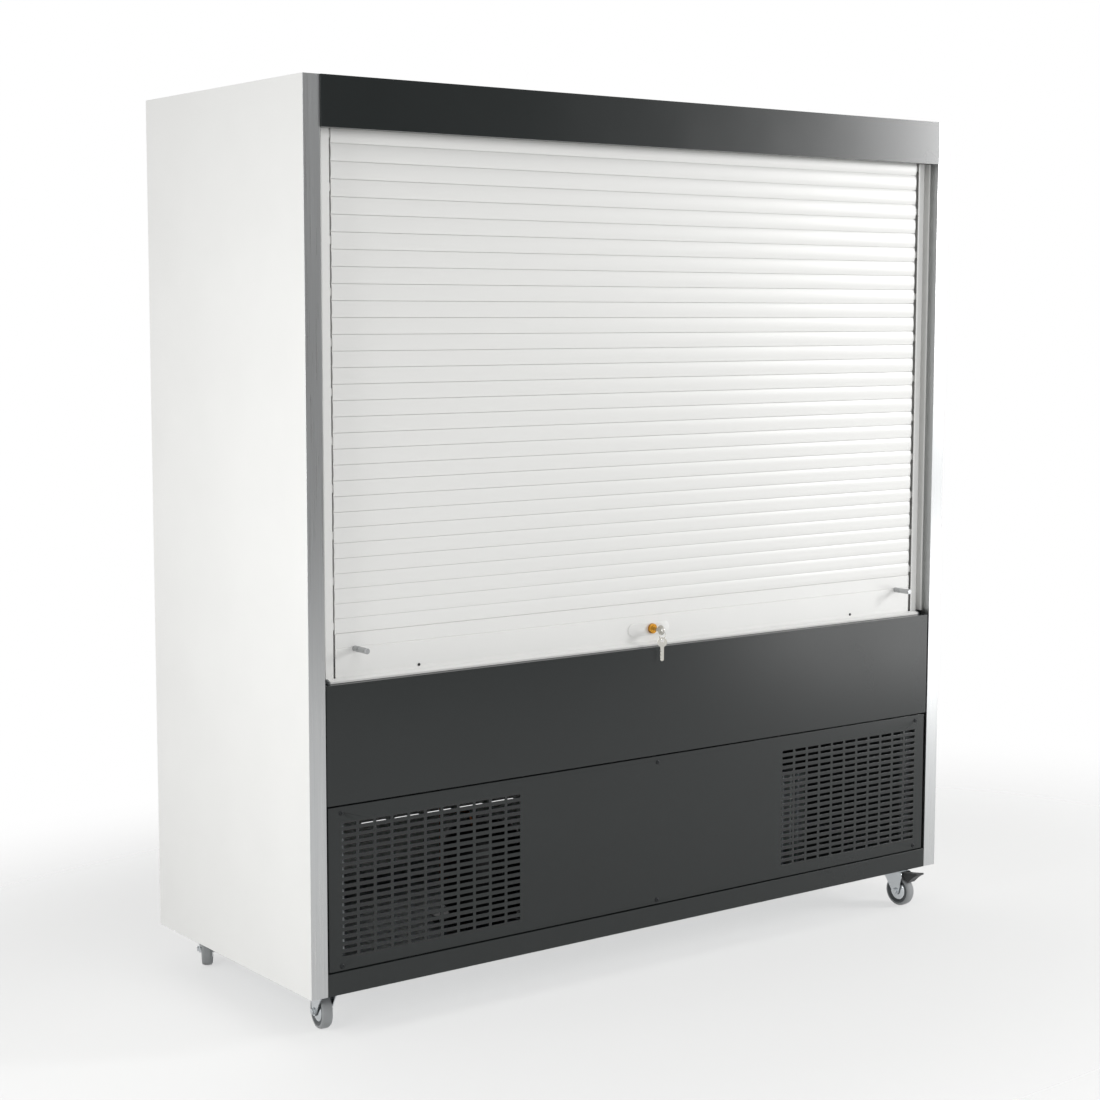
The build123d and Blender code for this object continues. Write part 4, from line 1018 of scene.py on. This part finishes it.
@dataclass
class ShutterLock:
    """Cylinder lock in the bottom rail with its key, split ring and spare key."""

    centre_z: float = 0.772
    rail_y: float = FRONT_Y + 0.0305
    plate: Point3 = (0.117, 0.028, 0.0025)
    plate_shift: float = 0.008
    cylinder_y: float = FRONT_Y + 0.0215
    cylinder_r: float = 0.011
    cylinder_depth: float = 0.019
    plug_r: float = 0.007
    key_thickness: float = 0.0016
    key_edge: float = 0.0003
    bow_r: float = 0.011
    hole_r: float = 0.004
    hole_y: float = FRONT_Y - 0.008
    hole_inset: float = 0.004
    ring_r: float = 0.009
    wire_r: float = 0.000434
    hang: float = 0.0024
    blade_half: float = 0.004
    blade_length: float = 0.032
    cut_depths: tuple[float, ...] = (1.4, 0.6, 1.9, 1.0, 2.0, 0.7)
    cut_pitch: float = 0.0042
    spare_turn: float = 45.0

    def _escutcheon(self) -> None:
        """Build the oval plate round the cylinder."""
        length, height, thickness = self.plate
        end_r = height / 2
        straight = length / 2 - end_r
        outer = []
        for k in range(33):
            angle = math.radians(-90 + 180 * k / 32)
            outer.append((straight + end_r * math.cos(angle), end_r * math.sin(angle)))
        outer += [(-u, -v) for u, v in outer]
        hole = circle((self.plate_shift, 0), self.cylinder_r + 0.0001)
        middle = (-self.plate_shift, self.rail_y - thickness / 2, self.centre_z)
        place = Matrix.Translation(middle) @ Matrix.Rotation(math.pi / 2, 4, "X")
        shape = Shape().plate([outer, hole], thickness, 0.0008, place)
        shape.piece("oval_escutcheon", WHITE_PLASTIC, "shutter", ["lock_escutcheon"])

    def _cylinder(self) -> None:
        """Build the brass cylinder as a bored bar with a chamfered rim."""
        bore, r, depth = self.plug_r + 0.00005, self.cylinder_r, self.cylinder_depth
        rim, lead = 0.0012, 0.0004
        outline = [(0.0, bore + lead), (0.0, r - rim), (rim, r), (depth, r), (depth, bore), (lead, bore)]
        shape = Shape().lathe(outline, (0.0, self.cylinder_y, self.centre_z), (0, 1, 0), 48, closed=True)
        shape.piece("brass_cylinder", TURNED_BRASS, "shutter", ["lock_cylinder"])
        dress_node("lock_plug", TURNED_BRASS, 0.0002)

    def _bow(self, middle: Point2, blade: Point2) -> list[Point2]:
        """Points round a key's bow, from one edge of its blade to the other.

        Args:
            middle: the bow's centre.
            blade: the direction in which the blade leaves it.

        Returns:
            The points, in order.
        """
        start = math.atan2(blade[1], blade[0])
        kept = []
        for u, v in circle(middle, self.bow_r, 48):
            along = (u - middle[0]) * blade[0] + (v - middle[1]) * blade[1]
            across = (u - middle[0]) * blade[1] - (v - middle[1]) * blade[0]
            if not (along > 0 and abs(across) < self.blade_half):
                turn = math.atan2(v - middle[1], u - middle[0]) - start
                kept.append((turn % (2 * math.pi), (u, v)))
        return [point for _, point in sorted(kept)]

    def _key(self) -> None:
        """Build the key in the lock: a flat blade with a shoulder and a round bow."""
        half, z = self.blade_half, self.centre_z
        tip = self.cylinder_y + 0.017
        bow = self._bow((self.hole_y + self.hole_inset, z), (1, 0))
        outline = bow + [(tip - 0.003, z - half), (tip, z), (tip - 0.003, z + half)]
        hole = circle((self.hole_y, z), self.hole_r)
        place = Matrix(((0, 0, 1, 0), (1, 0, 0, 0), (0, 1, 0, 0), (0, 0, 0, 1)))
        shape = Shape().plate([outline, hole], self.key_thickness, self.key_edge, place)
        shape.piece("turned_key", NICKEL, "key", ["lock_key"])

    def _ring(self) -> None:
        """Build the split ring as two close turns of wire."""
        centre_z = self.centre_z - self.hang - self.ring_r
        points = []
        for k in range(41):
            angle = 4 * math.pi * k / 40
            y = self.hole_y + 0.00045 * math.tanh(3 * (k / 20 - 1))
            points.append((self.ring_r * math.cos(angle), y, centre_z + self.ring_r * math.sin(angle)))
        Shape().tube(points, self.wire_r).piece("split_ring", NICKEL, "key_ring", ["key_ring"])

    def _spare(self) -> None:
        """Build the spare key with a cut edge, hanging on the ring."""
        half = self.blade_half
        hole_z = self.centre_z - 2 * self.hang - 2 * self.ring_r
        bow_z = hole_z - self.hole_inset
        tip = bow_z - self.bow_r - self.blade_length
        cuts = []
        for k, depth in enumerate(self.cut_depths):
            low = tip + 0.004 + k * self.cut_pitch
            for u, v in ((0.0, 0.0), (depth, 1.2), (depth, 2.2), (0.0, 3.4)):
                cuts.append((-half + u * MM, low + v * MM))
        point = [(-half, tip + 0.003), (0.0, tip), (half, tip + 0.003)]
        outline = self._bow((0.0, bow_z), (0, -1)) + cuts[::-1] + point
        place = (
            Matrix.Translation((0.0, self.hole_y, 0.0))
            @ Matrix.Rotation(math.radians(-self.spare_turn), 4, "Z")
            @ Matrix.Rotation(math.pi / 2, 4, "X")
        )
        hole = circle((0.0, hole_z), self.hole_r)
        shape = Shape().plate([outline, hole], self.key_thickness, self.key_edge, place)
        shape.piece("hanging_spare_key", NICKEL, "spare_key", ["spare_key"])

    def build(self) -> None:
        """Build the lock's pieces."""
        self._escutcheon()
        self._cylinder()
        self._key()
        self._ring()
        self._spare()


@dataclass
class ShelfBay:
    """Ticket strips, lamp ends and the honeycomb of the air outlet."""

    shelf_tops: tuple[float, ...] = (1.0, 1.28, 1.56)
    edge_y: float = -0.152
    edge_slope: float = -0.006 / 0.038
    pan_x: Point2 = (0.006, 0.852)
    outlet_y: Point2 = (FRONT_Y + 0.154, FRONT_Y + 0.186)
    outlet_z: Point2 = (1.835, 1.853)
    outlet_bays: int = 14
    rib: float = 0.004
    cell: float = 0.0085
    cell_rows: int = 4
    lamp_y: float = FRONT_Y + 0.216
    lamp_top: float = 1.8528
    lamp_x: Point2 = (0.8255, 0.838)

    def _ticket_strips(self) -> None:
        """Build a clear strip on the leaning front edge of each shelf pan."""
        section = (
            (0.001, 0.0), (0.001, 0.0022), (0.003, 0.0030), (0.034, 0.0030), (0.037, 0.0018), (0.037, 0.0)
        )
        face = self.edge_y - 0.0004
        for name, top in zip(("lower", "middle", "upper"), self.shelf_tops):
            outline = [(face + self.edge_slope * drop - out, top - drop) for drop, out in section]
            for side, hand in ((-1, "left"), (1, "right")):
                shape = Shape().bar(outline, side, *self.pan_x)
                shape.piece(f"ticket_strip_{name}_{hand}", CLEAR_STRIP, edge=0.0002)

    def _honeycomb(self) -> None:
        """Build folded strips that make the outlet's hexagonal cells."""
        pitch = (2 * LINER_X - self.rib) / self.outlet_bays
        step_y = (self.outlet_y[1] - self.outlet_y[0]) / self.cell_rows
        shape = Shape()
        for bay in range(self.outlet_bays):
            left = -LINER_X + self.rib + bay * pitch
            right = left + pitch - self.rib
            count = int((right - left) / (self.cell / 2))
            for row in range(self.cell_rows):
                y = self.outlet_y[0] + (row + 0.5) * step_y
                wave = []
                for k in range(count + 1):
                    swing = (1 if (k // 2 + row) % 2 else -1) * step_y * 0.47
                    wave.append((left + k * (right - left) / count, y + swing))
                shape.grid([[(x, v, z) for x, v in wave] for z in self.outlet_z])
        shape.piece("outlet_honeycomb", BLACK_PLASTIC, thickness=0.0004)

    def _lamp_ends(self) -> None:
        """Build the end sockets of the lamp."""
        y, top = self.lamp_y, self.lamp_top
        outline = rounded_box((y - 0.013, y + 0.013), (top - 0.0175, top), 0.004)
        shape = Shape()
        for side in (-1, 1):
            shape.bar(outline, side, *self.lamp_x)
        shape.piece("lamp_sockets", WHITE_PLASTIC, slot="diffuser", edge=0.0006)

    def build(self) -> None:
        """Build the fittings inside the cabinet."""
        self._ticket_strips()
        self._honeycomb()
        self._lamp_ends()


@dataclass
class Castor:
    """One swivel castor: race cover, axle nuts, wheel and, in front, a brake pedal."""

    corner: str
    x: float
    y: float
    turn: float
    trail: float = 0.031
    wheel_r: float = 0.0375
    wheel_half: float = 0.0135
    crown_z: Point2 = (0.0833, 0.0907)
    nut_x: float = 0.0175
    bolt_reach: float = 0.0215
    plate_z: float = 0.097
    pedal_half: float = 0.013
    rib_half: float = 0.011

    @property
    def place(self) -> Matrix:
        """Where the castor's own frame stands, with its wheel towards -Y."""
        return Matrix.Translation((self.x, self.y, 0)) @ Matrix.Rotation(math.radians(self.turn), 4, "Z")

    def _add(self, shape: Shape, name: str, finish: Finish, body: str, **how: Any) -> None:
        """Finish a piece in the castor's own frame, named after its corner."""
        shape.piece(f"{name}_{self.corner}", finish, body, place=self.place, **how)

    def _wheel(self) -> None:
        """Build tread, rim and thread guards as lathed pieces."""
        r, half = self.wheel_r, self.wheel_half
        centre = (0.0, -self.trail, r)
        body = f"castor_wheel_{self.corner}"
        right = [(0.80, 0.80), (0.88, 0.86), (0.82, 0.93), (0.62, 0.98), (0.3, 0.998)]
        tread = scaled([(-u, v) for u, v in right] + [(0.0, 1.0)] + right[::-1], half, r)
        shape = Shape().lathe(tread, centre, (1, 0, 0), 64, closed=True)
        self._add(shape, "tread", GREY_TREAD, body, replaces=[body])
        web = [(0.55, 0.62), (0.78, 0.68), (0.86, 0.74), (0.84, 0.82), (0.6, 0.86)]
        right = [(half, 0.0043), (half, 0.010), (half * 0.62, 0.0115)] + scaled(web, half, r)
        rim = [(-u, v) for u, v in right] + right[::-1]
        self._add(Shape().lathe(rim, centre, (1, 0, 0), 64, closed=True), "rim", DARK_RIM, body)
        guard = (
            (0.56, 0.60), (0.70, 0.60), (0.84, 0.52), (0.93, 0.36), (0.95, 0.28), (0.90, 0.28), (0.80, 0.5)
        )
        shape = Shape()
        for side in (-1, 1):
            shape.lathe(scaled(guard, half, r), centre, (side, 0, 0), 48, closed=True)
        self._add(shape, "thread_guards", BRIGHT_ZINC, body)

    def _fork_trim(self) -> None:
        """Build the race cover and the axle's nuts, which turn with the fork."""
        body = f"castor_{self.corner}"
        low, high = self.crown_z
        cover = [
            (high - 0.0002, 0.0215), (high - 0.0012, 0.0243), (low + 0.003, 0.0252), (low + 0.0005, 0.0246),
            (low + 0.0005, 0.0236), (high - 0.0014, 0.0236), (high - 0.0008, 0.0215),
        ]
        shape = Shape().lathe(cover, (0, 0, 0), (0, 0, 1), 48, closed=True)
        self._add(shape, "race_cover", BRIGHT_ZINC, body)
        nut, nuts = HexHead(0.0085, 0.0012, 0.0066, 0.0050, 0.0056, 0.0056, 32), Shape()
        for side in (-1, 1):
            nut.add(nuts, (side * self.nut_x, -self.trail, self.wheel_r), (side, 0, 0))
        self._add(nuts, "axle_nuts", BRIGHT_ZINC, body, edge=0.0002)

    def _plate_bolts(self) -> None:
        """Build the four bolts that hold the castor's top plate."""
        bolt, shape = HexHead(0.0052, 0.0008, 0.0044, 0.0036, 0.0041, 0.0036, 24), Shape()
        for dx in (-self.bolt_reach, self.bolt_reach):
            for dy in (-self.bolt_reach, self.bolt_reach):
                bolt.add(shape, (self.x + dx, self.y + dy, self.plate_z), (0, 0, -1))
        shape.piece(f"plate_bolts_{self.corner}", BRIGHT_ZINC, edge=0.0002)

    def _pedal(self) -> None:
        """Build the brake pedal: a ribbed lever over the wheel."""
        py, pz = -self.trail - 0.015, 0.082
        tip = -self.trail - 0.065
        top = [(py + 0.007, pz + 0.002), (py + 0.005, pz + 0.004), (py - 0.006, pz + 0.004)]
        for k in range(1, 8):
            t = k / 7
            top.append(((py - 0.006) * (1 - t) + (tip + 0.002) * t, pz + 0.004 + 0.006 * t**1.6))
        under = [(tip, pz + 0.0085), (tip, pz + 0.006)]
        for k in range(1, 6):
            t = k / 6
            under.append((tip * (1 - t) + (py - 0.020) * t, pz + 0.006 - 0.024 * t**1.3))
        heel = ((-0.020, -0.018), (-0.014, -0.013), (-0.003, -0.006), (0.005, -0.005), (0.007, -0.003))
        outline = top + under + [(py + u, pz + v) for u, v in heel]
        shape = Shape().prism(outline, Axis.X, -self.pedal_half, self.pedal_half)
        section = ((-0.0012, -0.001), (-0.0007, 0.0011), (0.0007, 0.0009), (0.0012, -0.001))
        for k in range(5):
            y, base = tip + 0.004 + k * 0.005, pz + 0.0092 - 0.0009 * k
            shape.prism([(y + u, base + v) for u, v in section], Axis.X, -self.rib_half, self.rib_half)
        body = f"brake_pedal_{self.corner}"
        self._add(
            shape, "ribbed_pedal", BLACK_PLASTIC, body, replaces=[body], slot="pedal_black", edge=0.0005
        )

    def build(self) -> None:
        """Build the castor's pieces."""
        self._wheel()
        self._fork_trim()
        self._plate_bolts()
        if self.corner.startswith("front"):
            self._pedal()


@dataclass
class AxialFan:
    """Moulded axial fan with a domed hub and swept blades."""

    name: str
    centre: Point3
    tip_r: float
    blades: int
    hub_r: float = 0.020
    depth: float = 0.018
    bore: float = 0.0041
    wall: float = 0.002
    steps: int = 8

    def _blade(self, turn: float) -> list[list[Point3]]:
        """Points of one swept and twisted blade.

        Args:
            turn: the blade's place round the hub, in radians.

        Returns:
            Rows of points from root to tip.
        """
        cx, cy, cz = self.centre
        root = self.hub_r * 0.96
        rows = []
        for i in range(self.steps + 1):
            s = i / self.steps
            radius = root + (self.tip_r - root) * s
            spread = math.radians(44 + 8 * s)
            rise = self.depth * (0.86 - 0.30 * s)
            sweep = math.radians(16) * s * s
            row = []
            for k in range(self.steps + 1):
                c = k / self.steps - 0.5
                angle = turn + spread * c + sweep
                y = cy + self.depth / 2 + rise * c - self.depth * 0.10 * (1 - 4 * c * c)
                row.append((cx + radius * math.cos(angle), y, cz + radius * math.sin(angle)))
            rows.append(row)
        return rows

    def build(self) -> None:
        """Build the hub and the blades."""
        d, r, sleeve = self.depth, self.hub_r, self.bore + 0.003
        hub = [
            (0.0, self.bore), (0.0, r * 0.55), (0.0012, r * 0.8), (0.0045, r * 0.97), (0.007, r), (d, r),
            (d, r - self.wall), (0.009, r - self.wall), (0.009, sleeve), (d, sleeve), (d, self.bore),
        ]
        shape = Shape().lathe(hub, self.centre, (0, 1, 0), 48, closed=True)
        shape.piece(f"{self.name}_hub", BLACK_PLASTIC, self.name, [self.name])
        shape = Shape()
        for index in range(self.blades):
            shape.grid(self._blade(2 * math.pi * index / self.blades))
        shape.piece(f"{self.name}_blades", BLACK_PLASTIC, self.name, thickness=0.0014)


@dataclass
class FanGuard:
    """Wire guard of rings and spokes in front of a fan."""

    name: str
    centre: Point3
    reach: float
    rings: int = 5
    spokes: int = 4
    wire: float = 0.0009

    def build(self) -> None:
        """Build rings and spokes."""
        cx, cy, cz = self.centre
        shape = Shape()
        for k in range(self.rings):
            ring = circle((0, 0), self.reach * (k + 1) / self.rings, 24)
            shape.tube([(cx + u, cy, cz + v) for u, v in ring], self.wire, closed=True)
        y = cy + 0.0015
        for k in range(self.spokes):
            angle = math.pi * (k + 0.5) / self.spokes
            u, v = self.reach * math.cos(angle), self.reach * math.sin(angle)
            shape.tube([(cx - u, y, cz - v), (cx + u, y, cz + v)], self.wire, smooth=False)
        shape.piece(self.name, BRIGHT_ZINC, slot="galvanised")


@dataclass
class FinnedCoil:
    """Many thin fins between end plates, with hairpin bends at both ends."""

    name: str
    x: Point2
    y: Point2
    z: Point2
    pitch: float
    bends: int
    fin: float = 0.0003

    def build(self) -> None:
        """Build the fins and the bends."""
        (left, right), (front, back), (bottom, top) = self.x, self.y, self.z
        outline = [(front, bottom), (back, bottom), (back, top), (front, top)]
        shape = Shape()
        count = int((right - left) / self.pitch)
        for k in range(1, count):
            x = left + k * (right - left) / count
            shape.prism(outline, Axis.X, x - self.fin / 2, x + self.fin / 2)
        shape.piece(f"{self.name}_fins", COIL_ALUMINIUM)
        tubes = Shape()
        step = (top - bottom) / (2 * self.bends)
        y = (front + back) / 2
        for side, x in ((-1, left), (1, right)):
            near, out = x - side * 0.002, x + side * step * 0.9
            for k in range(self.bends):
                z = bottom + (2 * k + 0.5) * step
                route = [(near, y, z), (out, y, z), (out, y, z + step), (near, y, z + step)]
                tubes.tube(route, min(0.005, step * 0.3))
        tubes.piece(f"{self.name}_bends", COPPER_TUBE)


@dataclass
class Compressor:
    """Fittings of the hermetic compressor: weld band, terminal cover and stub pipe."""

    centre: Point2 = (-0.3, FRONT_Y + 0.26)
    band_z: float = 0.213
    radius: float = 0.092
    tube_r: float = 0.0035

    def build(self) -> None:
        """Build the fittings on the shell."""
        (x, y), r, z = self.centre, self.radius, self.band_z
        half = [(0.004, r - 0.001), (0.004, r + 0.0016), (0.002, r + 0.0030)]
        band = [(-u, v) for u, v in half] + half[::-1]
        shape = Shape().lathe(band, (x, y, z), (0, 0, 1), 56, closed=True)
        shape.piece("compressor_weld_band", BLACK_ENAMEL)
        cover = rounded_box((x - 0.026, x + 0.026), (z + 0.012, z + 0.072), 0.006)
        shape = Shape().prism(cover, Axis.Y, y - r - 0.022, y - r + 0.012)
        shape.piece("compressor_terminal_cover", BLACK_PLASTIC, edge=0.002)
        bends = ((0.03, 0.10), (0.03, 0.135), (0.045, 0.15), (0.075, 0.15))
        stub = [(x - out, y, z + up) for out, up in bends]
        Shape().tube(stub, self.tube_r).piece("compressor_service_tube", COPPER_TUBE)


@dataclass
class ElectricalBox:
    """Cover plate and screws of the electrical box."""

    x: Point2 = (-0.78, -0.58)
    z: Point2 = (0.14, 0.30)
    front_y: float = REAR_Y - 0.0012 - 0.11
    cover_depth: float = 0.003
    margin: float = 0.004
    screw_inset: float = 0.014

    def build(self) -> None:
        """Build the cover and its four screws."""
        m = self.margin
        cover = rounded_box((self.x[0] + m, self.x[1] - m), (self.z[0] + m, self.z[1] - m), 0.006)
        face = self.front_y - self.cover_depth
        shape = Shape().prism(cover, Axis.Y, face, self.front_y)
        shape.piece("electrical_box_cover", GREY_PLASTIC, edge=0.0008)
        shape = Shape()
        for x in (self.x[0] + self.screw_inset, self.x[1] - self.screw_inset):
            for z in (self.z[0] + self.screw_inset, self.z[1] - self.screw_inset):
                ScrewSet(0.0035, 0.0015, 0.0019, 0.0009).add(shape, (x, face, z))
        shape.piece("electrical_box_screws", BRIGHT_ZINC)


def main() -> None:
    """Build the studio, dress the CAD nodes and build every sub-assembly in order."""
    logging.basicConfig(level=logging.INFO, format="%(name)s: %(message)s")
    bpy.context.scene.view_settings.view_transform = "Standard"
    Studio().build()
    for finish, names in NODE_FINISHES.items():
        for name in names.split():
            dress_node(name, finish)
    FrontPanels().build()
    RollerShutter().build()
    ShutterLock().build()
    ShelfBay().build()
    front, rear = FRONT_Y + 0.072, REAR_Y - 0.072
    for corner, x, y, turn in (
        ("front_left", -0.822, front, 171.0),
        ("front_right", 0.822, front, 2.0),
        ("rear_left", -0.822, rear, 150.0),
        ("rear_right", 0.822, rear, 165.0),
    ):
        Castor(corner, x, y, turn).build()
    fan_y, fan_z = FRONT_Y + 0.213, 0.60325
    for side, hand in ((-1, "left"), (1, "right")):
        AxialFan(f"evaporator_fan_{hand}", (side * 0.4, fan_y, fan_z), 0.08, 5).build()
        FanGuard(f"evaporator_guard_{hand}", (side * 0.4, fan_y - 0.006, fan_z), 0.086).build()
    AxialFan("condenser_fan", (0.3, FRONT_Y + 0.140, 0.237), 0.115, 6).build()
    for name, x, y, z, pitch, bends in (
        ("evaporator", (-0.7, 0.7), (FRONT_Y + 0.331, FRONT_Y + 0.529), (0.491, 0.614), 0.009, 3),
        ("condenser", (0.08, 0.52), (FRONT_Y + 0.071, FRONT_Y + 0.129), (0.103, 0.371), 0.005, 6),
    ):
        FinnedCoil(name, x, y, z, pitch, bends).build()
    Compressor().build()
    ElectricalBox().build()


if __name__ == "__main__":
    main()
